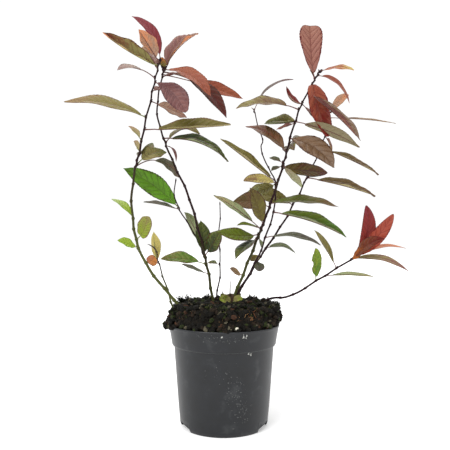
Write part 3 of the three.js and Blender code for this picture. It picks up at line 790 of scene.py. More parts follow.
class Leaf:
    """One leaf: a thin closed blade with folded midrib, raised veins and toothed edge, on a stalk."""

    def __init__(self, root, plan, cell, chance):
        reach = np.array(plan["reach"], dtype=float)
        length = float(np.linalg.norm(reach))
        chord = reach / length
        rise = normalised(Z_AXIS - chord * chord[2])
        self.plan = plan
        self.cell = cell
        self.midrib = Bend(root, root + reach / 2 + rise * 2 * plan["arch"], root + reach)
        self.face = face_direction(chord, plan["turn"])
        self.start = min(0.6, plan["stalk"] / length)
        self.half = plan["wide"] / 2
        self.slant = VEIN_SLANT.get(plan["form"], USUAL_SLANT)
        self.looks = LOOKS[plan["look"]].split()
        self.pairs = int(between(chance, VEIN_PAIRS))
        self.wave = between(chance, WAVE_DEPTH)
        self.phase = chance.random() * math.tau
        self.waves = between(chance, WAVE_COUNT)
        self.curl = between(chance, CURL)
        self.twist = between(chance, TWIST)
        self.spread = between(chance, SPREAD)
        self.seed = Vector((*chance.random(2) * BLOTCH_PLACE, 0))
        self.places, self.strips = row_places(self.pairs)
        self.rows = len(self.strips)
        half_row = [math.sin(math.pi / 2 * k / LEAF_COLUMNS) for k in range(1, LEAF_COLUMNS + 1)]
        self.across = [-place for place in half_row[::-1]] + [-MIDRIB_HALF, MIDRIB_HALF] + half_row

    def frame_at(self, share):
        """Centre, side and up at a share of the whole leaf, stalk and all."""
        along = self.midrib.along(share)
        side = normalised(np.cross(along, self.face))
        return self.midrib.at(share), side, np.cross(side, along)

    def point(self, row_share, place, lift, tooth=1.0):
        """A point of the blade: share along the veins, place across from -1 to 1, lift off it."""
        half = self.half
        out = abs(place)
        ahead = row_share + self.slant * out * min(1, 5 * row_share) * min(1, 3 * (1 - row_share))
        centre, side, up = self.frame_at(self.start + (1 - self.start) * ahead)
        angle = self.twist * (ahead - 0.4)
        turned_side = side * math.cos(angle) + up * math.sin(angle)
        turned_up = up * math.cos(angle) - side * math.sin(angle)
        width = half * outline(ahead, self.plan["form"]) * tooth
        if self.plan["form"] == "bitten" and place < 0:
            width *= 1 - BITE_DEPTH * max(0.0, math.sin(BITE_COUNT * ahead + self.phase)) ** 0.5
        fold = math.sin(self.plan["fold"]) * (out - 0.3 * out**2.5) * width
        ripple = self.wave * half * math.sin(math.tau * self.waves * ahead + self.phase + 1.1 * (place > 0))
        veins = row_share * (self.pairs + 1)
        taper = min(1, out * 3) * (1 - out**4) * min(1, 6 * (1 - ahead))
        quilt = QUILT * half * ((abs(veins - round(veins)) * 2) ** 0.7 - 0.5) * taper
        groove = -GROOVE * half * math.exp(-((out / 0.1) ** 2))
        droop = -self.curl * half * 0.5 * out**3
        height = fold + ripple * out**2 + quilt + groove + droop + lift
        return centre + turned_side * place * width * math.cos(self.plan["fold"]) + turned_up * height

    def material(self, row, column, upper):
        """The colour of one face, from base to tip in blotches, with veins and edge of their own."""
        row_share = (self.places[row] + self.places[row + 1]) / 2
        place = (self.across[column] + self.across[column + 1]) / 2
        out = abs(place)
        broad = noise.noise(self.seed + Vector((row_share * 4, place * 2, 0)))
        fine = noise.noise(self.seed + Vector((row_share * 19, place * 7, 5)))
        base, end, edge, under_base, under_end = self.looks
        first, last = (base, end) if upper else (under_base, under_end)
        share = (row_share - self.spread) / (0.95 - self.spread) + MOTTLE * broad + FINE_MOTTLE * fine
        step = int(round(max(0, min(1, share)) * BLEND_STEPS))
        nearest = last if step > BLEND_STEPS / 2 else first
        if out < MIDRIB_HALF * 2 or (self.strips[row] and out < EDGE_FROM):
            return leaf_material(nearest, edge, 2 if upper else 1, upper)
        if upper and out > EDGE_FROM + 0.25 * fine:
            return leaf_material(nearest, edge, BLEND_STEPS, True)
        return leaf_material(first, last, step, upper)

    def mapped(self, row, column, upper):
        """The place of a point in the leaf's cell of the map: upper side below, underside above."""
        pad = CELL_MARGIN / CELLS
        size = 1 / CELLS - 2 * pad
        u = row / self.rows * 0.94 + 0.03
        v = column / (len(self.across) - 1) * 0.44 + (0.03 if upper else 0.53)
        return (
            self.cell % CELLS / CELLS + pad + u * size,
            self.cell // CELLS / CELLS + pad + v * size,
        )

    def build_blade(self, skin):
        """Upper side and underside row by row, a point at the tip, and the rim between them."""
        rows = self.rows
        wide = len(self.across)
        under = rows * wide
        apex = 2 * under
        points = []
        for lift in (0.0, -LEAF_THICK):
            for row in range(rows):
                row_share = FIRST_ROW + (1 - FIRST_ROW) * self.places[row]
                for place in self.across:
                    tooth = TEETH[row % 2] if abs(place) > 0.99 else 1.0
                    points.append(self.point(row_share, place, lift, tooth))
        points.append(self.midrib.at(1.0) - self.face * LEAF_THICK / 2)
        faces = []
        slots = []
        corners = []
        for first, upper in ((0, True), (under, False)):
            for row in range(rows):
                for column in range(wide - 1):
                    a = first + row * wide + column
                    face = (a, a + 1, a + 1 + wide, a + wide)
                    spots = [(row, column), (row, column + 1), (row + 1, column + 1), (row + 1, column)]
                    if row == rows - 1:
                        face = (a, a + 1, apex)
                        spots[2:] = [(rows, (wide - 1) / 2)]
                    order = 1 if upper else -1
                    faces.append(face[::order])
                    slots.append(skin.slot_of(self.material(row, column, upper)))
                    corners.extend(self.mapped(*spot, upper) for spot in spots[::order])
        rim_slot = skin.slot_of(leaf_material(self.looks[1], self.looks[2], BLEND_STEPS, True))
        for edge, order in ((0, -1), (wide - 1, 1)):
            rim = [row * wide + edge for row in range(rows)] + [apex]
            for row, (a, b) in enumerate(zip(rim, rim[1:])):
                face = (a, b, a + under) if b == apex else (a, b, b + under, a + under)
                faces.append(face[::order])
                slots.append(rim_slot)
                corners.extend([self.mapped(row, 0, True)] * len(face))
        for column in range(wide - 1):
            faces.append((column + 1, column, column + under, column + 1 + under))
            slots.append(rim_slot)
            corners.extend([self.mapped(0, column, True)] * 4)
        skin.add(points, faces, slots, corners)

    def stalk(self):
        """The stalk, which runs on under the blade as the raised midrib: its points and faces."""
        points = []
        for row in range(STALK_ROWS + 1):
            share = (self.start + (1 - self.start) * 0.9) * row / STALK_ROWS
            centre, side, up = self.frame_at(share)
            on_blade = max(0.0, (share - self.start) / (1 - self.start))
            thick = STALK_RADIUS * (1 - 0.75 * on_blade)
            if share <= self.start:
                thick += 0.35 * (1 - share / self.start) ** 3
            thick *= min(1.15, 0.55 + self.half / 34)
            if on_blade:
                sunk = min(1.0, on_blade * 10) * 0.35
                centre = self.point(on_blade, 0.0, -LEAF_THICK / 2 - sunk * thick)
            points.extend(ring(centre, side, up, thick, STALK_SIDES))
        return points, bridge(STALK_ROWS, STALK_SIDES)


# Canes. Between leaves a cane has a joint about this often. It steps aside and to the back or front at
# each, by a length from these spans, and swells over this length.
JOINT_GAP = 26
JOINT_STEP = (0.4, 1.2)
JOINT_DEPTH = (-0.24, 0.24)
JOINT_LENGTH = 1.6
# The bark has this many sides and a ring this often, and the top buds sit at this share of the cane.
CANE_SIDES = 12
CANE_STEP = 1.2
CANE_TOP = 0.985
# No side bud stands closer to a leaf than this.
BUD_CLEAR = 6
BUD_SIDES = 8
# Radius and length of the bud beside a leaf and of one at a bare joint.
LEAF_BUD = (0.9, 2.6)
SIDE_BUD = (0.8, 2.4)
# A bud's outline: share of its length, share of its width.
BUD_PROFILE = ((0.0, 0.55), (0.2, 0.95), (0.45, 1.0), (0.7, 0.7), (0.9, 0.3))
# Buds at the tips of the canes: radius, length and lean.
TOP_BUDS = {
    "inner": (
        (2.6, 13, (0, -0.3, 0)), (1.9, 11, (-0.7, -0.4, 0)), (2.0, 9, (0.8, -0.5, 0)),
        (2.4, 8, (0.2, -0.9, -1.2)), (1.5, 9, (-0.4, 0.7, 0)),
    ),
    "left": ((1.6, 8, (0, -0.3, 0)), (1.3, 6, (0.7, -0.3, 0)), (1.3, 6, (-0.6, 0.3, 0))),
    "right": ((1.4, 7, (0.2, -0.2, 0)), (1.2, 6, (0.9, -0.3, 0)), (1.1, 6, (-0.7, -0.2, 0))),
    "back": ((1.1, 5, (0, 0, 0)), (0.9, 4, (0.6, 0, 0))),
    "slim": ((1.0, 5, (0, 0, 0)), (0.9, 4, (-0.7, 0, 0))),
    "runner": ((1.3, 6, (0, 0, 0)), (1.0, 4, (-0.3, -0.3, 0.6))),
    "branch": ((0.9, 4, (0, 0, 0)),),
    "twig": ((0.8, 4, (0, 0, 0)),),
    "sprout": ((0.9, 4, (0, 0, 0)),),
}
BARKS = {"green_bark": (76, 80, 40), "dark_bark": (34, 11, 15)}
STALK_GREEN = (112, 118, 62)
STALK_RED = (92, 50, 42)
BASAL_STALK = (120, 128, 62)
# Leaves of these tints at the base have green stalks, and the others red ones.
GREEN_STALKED = ("lime", "fresh_green", "bright_green", "yellow_green", "leaf_green", "khaki")


def joints_of(route, leaf_shares):
    """Where the cane has its joints: at every leaf and, between them, no more than a gap apart."""
    shares = sorted([0.02, *leaf_shares, CANE_TOP])
    joints = []
    for low, high in zip(shares, shares[1:]):
        cuts = int((high - low) * route.length / JOINT_GAP) + 1
        joints.extend(low + (high - low) * k / cuts for k in range(cuts))
    return joints + [shares[-1]]


def zigzag(joints, chance):
    """A small sideways step at each joint, to alternate sides, as the cane really grows."""
    steps = []
    for number in range(len(joints)):
        size = between(chance, JOINT_STEP)
        steps.append((-size if number % 2 else size, between(chance, JOINT_DEPTH), 0.0))
    return np.array(steps)


def step_at(joints, steps, share):
    """How far the cane has stepped aside at a share of its length."""
    return np.array([np.interp(share, joints, steps[:, k]) for k in range(3)])


def grow_cane(skin, cane, route, slot, joints, steps):
    """The bark of one cane: ridged, bent and swollen at each joint."""
    rows = int(route.length / CANE_STEP)
    foot, tip = cane["radius"]
    points = []
    for row in range(rows + 1):
        share = row / rows
        centre = route.at(share) + step_at(joints, steps, share)
        along = route.along(share)
        across = normalised(np.cross(Y_AXIS, along))
        other = np.cross(along, across)
        swell = sum(math.exp(-(((share - joint) * route.length) / JOINT_LENGTH) ** 2) for joint in joints)
        radius = (foot + (tip - foot) * share) * (0.94 + 0.42 * min(1.2, swell))
        if row == rows:
            radius *= 0.5
        for angle in turns(CANE_SIDES):
            ridge = 0.05 * math.sin(3 * angle + share * 9)
            spot = Vector((centre[0] * 0.4 + 3 * math.cos(angle), centre[2] * 0.35, 3 * math.sin(angle)))
            reach = radius * (1 + ridge + 0.07 * noise.noise(spot))
            points.append(centre + (across * math.cos(angle) + other * math.sin(angle)) * reach)
    skin.add(points, bridge(rows, CANE_SIDES), slot)


def add_bud(skin, slot, at, toward, size, length):
    """A small pointed bud."""
    toward = normalised(toward)
    helper = Y_AXIS if abs(toward[1]) < 0.9 else X_AXIS
    side = normalised(np.cross(helper, toward))
    other = np.cross(toward, side)
    points = []
    for share, width in BUD_PROFILE:
        points.extend(ring(at + toward * length * share, side, other, size * width, BUD_SIDES))
    rows = len(BUD_PROFILE) - 1
    faces = bridge(rows, BUD_SIDES, head=False)
    last = rows * BUD_SIDES
    for k in range(BUD_SIDES):
        faces.append((last + k, last + (k + 1) % BUD_SIDES, len(points)))
    skin.add(points + [at + toward * length], faces, slot)


def grow_plant():
    """The canes with their leaves: one piece of leaves and one of bark and stalks for each cane."""
    chance = np.random.default_rng(SEED)
    green_stalk = new_material("stalk_green", linear(STALK_GREEN), 0.45)
    red_stalk = new_material("stalk_red", linear(STALK_RED), 0.45)
    for cane_name, cane in CANES.items():
        route = Route(cane["route"])
        leaves = Skin()
        stems = Skin()
        low, high, from_share, to_share = cane["bark"]
        low_height = route.at(from_share)[2] * MM
        high_height = max(low_height + 0.01, route.at(to_share)[2] * MM)
        bark = bark_material(f"bark_{cane_name}", BARKS[low], BARKS[high], low_height, high_height)
        slot = stems.slot_of(bark)
        green = stems.slot_of(green_stalk)
        red = stems.slot_of(red_stalk)
        shares = [route.share_at_height(plan["at"]) for plan in cane["leaves"]]
        joints = joints_of(route, shares)
        steps = zigzag(joints, chance)
        grow_cane(stems, cane, route, slot, joints, steps)
        foot, tip = cane["radius"]
        for cell, (plan, share) in enumerate(zip(cane["leaves"], shares)):
            root = route.at(share) + step_at(joints, steps, share)
            grown = Leaf(root, plan, cell, chance)
            grown.build_blade(leaves)
            stems.add(*grown.stalk(), green if grown.looks[0] in GREEN_STALKED else red)
            way = normalised(np.array(plan["reach"], dtype=float))
            along = route.along(share)
            radius = foot + (tip - foot) * share
            add_bud(stems, slot, root + way * radius * 0.7 + along * 1.6, way * 0.6 + along, *LEAF_BUD)
        side = 1
        for joint, step in zip(joints, steps):
            if min(abs(joint - share) for share in shares + [0.0]) * route.length < BUD_CLEAR:
                continue
            radius = foot + (tip - foot) * joint
            way = np.array([side * math.cos(joint * 40), -abs(math.sin(joint * 40)), 0.0])
            bud_at = route.at(joint) + step + way * radius * 0.8
            add_bud(stems, slot, bud_at, way * 0.5 + route.along(joint), *SIDE_BUD)
            side = -side
        end = route.at(CANE_TOP) + steps[-1]
        for size, length, lean in TOP_BUDS[cane_name]:
            add_bud(stems, slot, end, np.array(lean) + route.along(CANE_TOP), size, length)
        leaf_piece = leaves.finish(f"leaves_{cane_name}")
        stem_piece = stems.finish(f"stems_{cane_name}")
        for piece in (leaf_piece, stem_piece):
            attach(piece, "root")
        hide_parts(*cane["foliage"])
        if cane["stems"]:
            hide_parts(*cane["stems"])


# Pot.
POT_SIDES = 160
# Where dust and dried splashes lie on the pot, with thin pale lines of flakes: bearing from the front,
# height, spread, reach, count, and the least and the greatest size. The two rows at the ledge's height are
# a painted highlight all round the ledge, and the last row lines the rim's outer edge at the front.
SPECKS = (
    (14, 62, 15, 30, 100, 0.4, 2.2),
    (-4, 92, 22, 26, 30, 0.4, 2.0),
    (24, 40, 14, 22, 70, 0.4, 2.2),
    (2, 141, 26, 6, 60, 0.4, 2.0),
    (-20, 146, 14, 5, 20, 0.4, 1.6),
    # These two rows are a painted highlight: a line of pale flakes all round the ledge.
    (0, 122.7, 88, 0.3, 620, 0.7, 1.5),
    (180, 122.7, 88, 0.3, 620, 0.7, 1.5),
    (-6, 152.6, 40, 0.4, 110, 0.5, 1.2),
)
# Dried drips of lime: bearing, height of the top, length and breadth. Each is a row of flakes.
DRIPS = ((19, 152, 7, 1.5), (22, 149, 5, 1.1), (27, 123, 4, 1.3), (30, 121, 3, 1.0), (-2, 148, 2, 2.4))
DRIP_FLAKES = 6
DRIP_TALL = 1.6
DRIP_SPREAD = 0.6
# One long smear near the foot: bearing, height, breadth and how tall it is.
SMEAR = (11, 14, 4.0, 1.4)
FLAKE_SIDES = 6
FLAKE_FRONT = 0.16
FLAKE_BACK = -0.5
FLAKE_LIFT = 0.12
FLAKE_REACH = (0.7, 1.2)
# The higher it is, the more of the specks are small.
SPECK_POWER = 2.5
# Colour of the dust, and of the painted highlight along the ledge.
DUST_AND_HIGHLIGHT = (72, 74, 74)
LIME = (196, 196, 190)


def pot_material():
    """Dull black plastic: dusty, a little paler where it is scuffed, and shiny at a low angle."""
    material = new_material("pot_plastic", linear((12, 14, 18)), 0.4, 0.42)
    tree = material.node_tree
    stops = [(0.36, (6, 8, 12)), (0.58, (13, 16, 21)), (0.72, (42, 44, 46))]
    add_ramp(tree, add_pattern(tree, **POT_SCUFFS), "Fac", stops)
    add_grain(tree, POT_GRAIN)
    return material


def pot_profile():
    """Radius and height all along the pot's wall: up the outside, then down the inside."""
    top = POT["height"]
    rim = POT["rim_radius"]
    rim_foot = POT["rim_foot_radius"]
    ledge = POT["ledge_radius"]
    belly = POT["belly_radius"]
    belly_height = POT["belly_height"]
    heel = POT["heel_radius"]
    heel_height = POT["heel_height"]
    foot = POT["foot_radius"]
    wall = POT["wall"]
    outside = [
        (foot - 1.2, 0), (foot - 0.3, 0.2), (foot + 0.3, 0.9),
        (heel - 0.3, heel_height - 0.6), (heel + 0.2, heel_height + 1.4),
        (belly - 1.4, belly_height * 0.55), (belly, belly_height), (belly + 3.4, belly_height + 45),
        (ledge - 0.3, LEDGE - 3), (ledge, LEDGE - 0.6), (ledge + 0.3, LEDGE),
        (rim_foot - 0.5, LEDGE + 0.4), (rim_foot, LEDGE + 1.1), (rim_foot + 0.25, LEDGE + 2.4),
        (rim_foot + 1.9, LEDGE + 13), (rim - 1.1, top - 5), (rim - 0.6, top - 3.4),
        (rim - 0.05, top - 2.4), (rim, top - 1.4), (rim - 0.25, top - 0.4), (rim - 0.8, top),
    ]
    inside = [
        (rim - wall, top - 0.1), (rim - wall - 0.6, top - 0.8), (rim - wall - 1.4, top - 4),
        (rim_foot - wall, LEDGE + 3), (ledge - wall, LEDGE), (belly - wall, belly_height),
        (foot - wall, POT["floor"]),
    ]
    return outside + inside


def facing(bearing):
    """The outward and the sideways direction at a bearing from the front."""
    turn = math.radians(bearing)
    out = np.array([math.sin(turn), -math.cos(turn), 0.0])
    side = np.array([math.cos(turn), math.sin(turn), 0.0])
    return out, side


def notch_cutter():
    """One object of round-cornered blocks where the drain notches are."""
    skin = Skin()
    half = NOTCH["width"] / 2
    top = NOTCH["height"]
    below = -NOTCH["below"]
    corner = NOTCH["corner"]
    section = [
        (-half, below), (half, below), (half, top - corner),
        (half - corner, top), (corner - half, top), (-half, top - corner),
    ]
    slot = skin.slot_of(bpy.data.materials.new("cutter"))
    for bearing in NOTCH["bearings"]:
        out, side = facing(bearing)
        points = []
        for depth in (NOTCH["depth"], -NOTCH["depth"]):
            outer = out * (NOTCH["middle_radius"] + depth)
            points.extend(outer + side * x + Z_AXIS * z for x, z in section)
        skin.add(points, [face[::-1] for face in bridge(1, len(section))], slot)
    return skin.finish("cutter", smooth=False)


def apply_modifiers(piece):
    """Keeps what the modifiers make as the piece's own mesh."""
    graph = bpy.context.evaluated_depsgraph_get()
    made = bpy.data.meshes.new_from_object(piece.evaluated_get(graph))
    piece.modifiers.clear()
    piece.data = made


def build_pot():
    """The pot, turned from its profile, with the drain notches cut out of its foot."""
    profile = pot_profile()
    points = [polar(radius, angle, height) for radius, height in profile for angle in turns(POT_SIDES)]
    skin = Skin()
    skin.add(points, bridge(len(profile) - 1, POT_SIDES), skin.slot_of(pot_material()))
    pot = skin.finish("nursery_pot")
    cutter = notch_cutter()
    cut = pot.modifiers.new("notches", "BOOLEAN")
    cut.operation = "DIFFERENCE"
    cut.solver = "EXACT"
    cut.object = cutter
    apply_modifiers(pot)
    bpy.data.objects.remove(cutter)
    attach(pot, "root")
    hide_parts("pot")


def pot_radius(height):
    """The outside radius of the pot's wall at a height."""
    top = POT["height"]
    rim = POT["rim_radius"] - 0.8
    heights = (0, POT["heel_height"], POT["belly_height"], LEDGE, LEDGE + 1.2, top - 4, top)
    radii = (
        POT["foot_radius"], POT["heel_radius"], POT["belly_radius"], POT["ledge_radius"],
        POT["rim_foot_radius"], rim, rim,
    )
    return float(np.interp(height, heights, radii))


def add_flake(skin, slot, chance, bearing, height, wide, tall):
    """A thin uneven flake that lies on the pot's wall."""
    out, side = facing(bearing)
    lean = (pot_radius(height + 2) - pot_radius(height - 2)) / 4
    up = normalised(Z_AXIS + out * lean)
    centre = out * (pot_radius(height) + FLAKE_LIFT) + Z_AXIS * height
    points = []
    for depth in (FLAKE_FRONT, FLAKE_BACK):
        for angle in turns(FLAKE_SIDES):
            reach = between(chance, FLAKE_REACH)
            across = side * wide * math.cos(angle) + up * tall * math.sin(angle)
            points.append(centre + out * depth + across * reach / 2)
    skin.add(points, [face[::-1] for face in bridge(1, FLAKE_SIDES)], slot)


def build_specks():
    """Specks of dust, a painted highlight of pale flakes along the ledge, and splashes of lime on the pot's
    wall, as thin flakes.
    """
    chance = np.random.default_rng(SEED + 6)
    skin = Skin()
    # One material for the dust and for the painted highlight along the ledge.
    dust_and_highlight = skin.slot_of(new_material("pot_dust_and_highlight", linear(DUST_AND_HIGHLIGHT), 0.7))
    lime = skin.slot_of(new_material("pot_lime", linear(LIME), 0.8))
    for bearing, height, spread, reach, count, least, greatest in SPECKS:
        for _ in range(count):
            size = between(chance, (least, greatest), SPECK_POWER)
            where = about(chance, height, reach)
            aside = about(chance, bearing, spread)
            add_flake(skin, dust_and_highlight, chance, aside, where, size, size)
    for bearing, top, length, wide in DRIPS:
        for _ in range(DRIP_FLAKES):
            low = between(chance, (top, top - length))
            aside = between(chance, (bearing - DRIP_SPREAD, bearing + DRIP_SPREAD))
            add_flake(skin, lime, chance, aside, low, between(chance, (wide / 2, wide)), DRIP_TALL)
    add_flake(skin, dust_and_highlight, chance, *SMEAR)
    specks = skin.finish("pot_specks", smooth=False)
    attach(specks, "root")


# Root ball.
BALL_SIDES = 240
BALL_RINGS = 90
# Height and scale of its bulges, with how fast finer ones fade, how much finer each kind is and how
# many kinds there are, and height and scale of its pimples.
BULGE_HEIGHT = 3.2
BULGE_SCALE = 0.11
BULGE_KINDS = (0.55, 2.2, 5)
PIMPLE_HEIGHT = 1.3
PIMPLE_SCALE = 0.42
PEAT = ((12, 11, 8), (30, 25, 18))
# Kinds of crumb: dark and light colour.
CRUMBS = {
    "crumb_black": ((10, 10, 8), (24, 21, 16)),
    "crumb_dark": ((22, 18, 13), (48, 38, 28)),
    "crumb_brown": ((48, 32, 23), (82, 56, 40)),
    "crumb_moss": ((24, 29, 14), (50, 58, 26)),
    "crumb_grey": ((62, 58, 46), (104, 98, 80)),
}
# A random share under the number takes the kind.
CRUMB_SHARES = (
    (0.58, "crumb_black"), (0.82, "crumb_dark"), (0.92, "crumb_moss"), (0.955, "crumb_brown"),
    (1.0, "crumb_grey"),
)
# How many of each kind of loose piece there are, and the span of its size.
CRUMB_COUNT = 2400
CRUMB_SIZE = (1.2, 3.6)
CLOD_COUNT = 520
CLOD_SIZE = (3.0, 6.0)
CHIP_COUNT = 30
CHIP_SIZE = (1.6, 3.8)
SPILT_SIZE = (2.2, 4.8)
GRAIN_COUNT = 14
GRAIN_SIZE = (1.0, 1.9)
# Heaps of small clods, which give the ball its ragged skyline.
HEAP_COUNT = 26
HEAP_CLODS = 26
HEAP_BREADTH = (3, 7)
HEAP_HEIGHT = (4, 10)
HEAP_SIZE = (1.4, 3.2)
# Clods spilt on the rim: bearing from +X, its spread, how far out past the rim, height of the
# lowest, how far they are piled up, and how many.
SPILLS = (
    (188, 20, 11, 152, 12, 80),
    (184, 30, 3, 156, 20, 90),
    (354, 24, 7, 162, 18, 90),
    (350, 34, 3, 156, 12, 80),
    (270, 85, 1.5, 155, 8, 130),
    (90, 85, 1.5, 155, 8, 120),
)
# White grains, and one large one at the front of the shoulder.
PERLITE = ((206, 200, 176), (236, 232, 216))
LARGE_GRAIN = (18, -80.5, 158.5)
LARGE_GRAIN_SIZE = 3.4
# A loose piece: how far out each corner may lie, how far it may lean, and its radius, corners and
# faces before it is made uneven, which are twenty triangles.
LUMP_REACH = (0.72, 1.28)
LUMP_LEAN = (-0.8, 0.8)
LUMP_RADIUS = 1.9
LUMP_POINTS = (
    (-1, 1.618, 0), (1, 1.618, 0), (-1, -1.618, 0), (1, -1.618, 0),
    (0, -1, 1.618), (0, 1, 1.618), (0, -1, -1.618), (0, 1, -1.618),
    (1.618, 0, -1), (1.618, 0, 1), (-1.618, 0, -1), (-1.618, 0, 1),
)
LUMP_FACES = (
    (0, 11, 5), (0, 5, 1), (0, 1, 7), (0, 7, 10), (0, 10, 11), (1, 5, 9), (5, 11, 4), (11, 10, 2),
    (10, 7, 6), (7, 1, 8), (3, 9, 4), (3, 4, 2), (3, 2, 6), (3, 6, 8), (3, 8, 9), (4, 9, 5),
    (2, 4, 11), (6, 2, 10), (8, 6, 7), (9, 8, 1),
)
# Fine roots: dark and light colour and roughness.
ROOTS = {
    "root_pale": ((146, 108, 70), (178, 142, 100), 0.7),
    "root_brown": ((84, 50, 32), (112, 74, 50), 0.7),
}
# How many lie over the ball, and in a bundle at the front at these bearings from +X and radii, with
# the spans of their thickness and the steps that each wanders in.
ROOT_COUNT = 60
ROOT_SIZE = (0.2, 0.4)
BUNDLE_COUNT = 14
BUNDLE_BEARING = (-66.5, -57.5)
BUNDLE_RADIUS = (74, 78)
BUNDLE_SIZE = (0.35, 0.65)
ROOT_STEPS = 9
ROOT_STEP = 1.9
ROOT_SWERVE = (-0.55, 0.55)
ROOT_LEAST_RADIUS = 20
ROOT_GREATEST_RADIUS = 79.6
MOSSES = {
    "moss_dark": ((15, 18, 10), (32, 36, 20), 0.8),
    "moss_green": ((42, 50, 24), (70, 80, 38), 0.8),
    "moss_yellow": ((92, 98, 50), (126, 130, 70), 0.8),
}
# Patches of moss, their breadth and the length of their shoots.
PATCH_COUNT = 110
PATCH_SIZE = (3, 7)
SHOOT_LENGTH = (3.0, 7.0)
SHOOT_LEAVES = 6
# Tufts of dark moss that make the ragged edge: bearing from +X, radius, height, breadth, number of
# shoots and their length.
TUFTS = (
    (163, 68, 180, 5, 34, 12), (150, 62, 181, 5, 26, 12), (176, 71, 176, 6, 34, 9),
    (190, 78, 166, 6, 34, 8), (200, 76, 170, 5, 26, 8), (0, 79, 172, 5, 34, 11), (9, 79, 175, 5, 34, 11),
    (350, 79, 168, 5, 26, 8), (22, 72, 179, 5, 26, 10), (48, 64, 181, 4, 24, 11), (70, 60, 181, 4, 22, 12),
    (112, 62, 181, 5, 22, 10),
    (205, 52, 181, 6, 26, 7), (330, 60, 181, 6, 26, 7), (250, 66, 180, 6, 22, 6), (300, 64, 180, 6, 22, 6),
)


def soil_height(radius, angle):
    """The root ball's top, by the part's own rule."""
    lip = POT["height"] - SOIL["sunk"]
    reach = SOIL["shoulder_radius"] - SOIL["plateau_radius"]
    past = max(0.0, (radius - SOIL["plateau_radius"]) / reach)
    dome = SOIL["dome_rise"] * (1 - (radius / SOIL["plateau_radius"]) ** 2)
    rolling = SOIL["bump"] * (math.sin(3 * angle + radius / 9) + math.cos(7 * angle - radius / 13))
    rise = SOIL["plateau_height"] + dome * (1 - past) - lip
    return lip + rise * math.sqrt(max(0.0, 1 - past**2.4)) + rolling * (1 - past)


def on_soil(chance, inner=0.0, outer=1.0):
    """A random place on the root ball: radius, angle and the point."""
    top_radius = SOIL["shoulder_radius"] - 0.8
    radius = top_radius * math.sqrt(inner**2 + (outer**2 - inner**2) * chance.random())
    angle = chance.random() * math.tau
    return radius, angle, polar(radius, angle, soil_height(radius, angle))


def soil_slots(skin, kinds):
    """A slot for each kind of soil, by its name."""
    return {name: skin.slot_of(soil_material(name, *look)) for name, look in kinds.items()}


def hand_in_soil(skin, name, smooth=False):
    """Makes a piece of loose soil, moss or roots and tells the frame about it."""
    piece = skin.finish(name, smooth)
    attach(piece, "root")


def build_soil():
    """The root ball: a lumpy top with steep shoulders, on a skirt that reaches down to the ledge."""
    skin = Skin()
    top_radius = SOIL["shoulder_radius"] - 0.4
    skirt_radius = POT["ledge_radius"] - POT["wall"] - 0.3
    points = [polar(skirt_radius, angle, LEDGE) for angle in turns(BALL_SIDES)]
    for row in range(BALL_RINGS + 1):
        radius = top_radius * (1 - (row / BALL_RINGS) ** 1.5)
        for angle in turns(BALL_SIDES):
            height = soil_height(radius, angle)
            spot = Vector(polar(radius, angle, height))
            bulge = BULGE_HEIGHT * noise.fractal(spot * BULGE_SCALE, *BULGE_KINDS)
            bulge += PIMPLE_HEIGHT * noise.noise(spot * PIMPLE_SCALE)
            out = min(top_radius + 0.3, radius + bulge * 0.5)
            points.append(polar(out, angle, height + bulge))
    skin.add(points, bridge(BALL_RINGS + 1, BALL_SIDES), skin.slot_of(soil_material("peat", *PEAT)))
    soil = skin.finish("peat_ball")
    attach(soil, "root")
    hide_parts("soil")


def add_lump(skin, slot, at, size, chance, stretch=(1, 1, 1)):
    """A small uneven lump."""
    turn = Matrix.Rotation(chance.random() * math.tau, 3, "Z")
    lean = Matrix.Rotation(between(chance, LUMP_LEAN), 3, "Y")
    turned = np.array(turn @ lean) * stretch * size / LUMP_RADIUS
    points = [at + turned @ point * between(chance, LUMP_REACH) for point in LUMP_POINTS]
    skin.add(points, LUMP_FACES, slot)


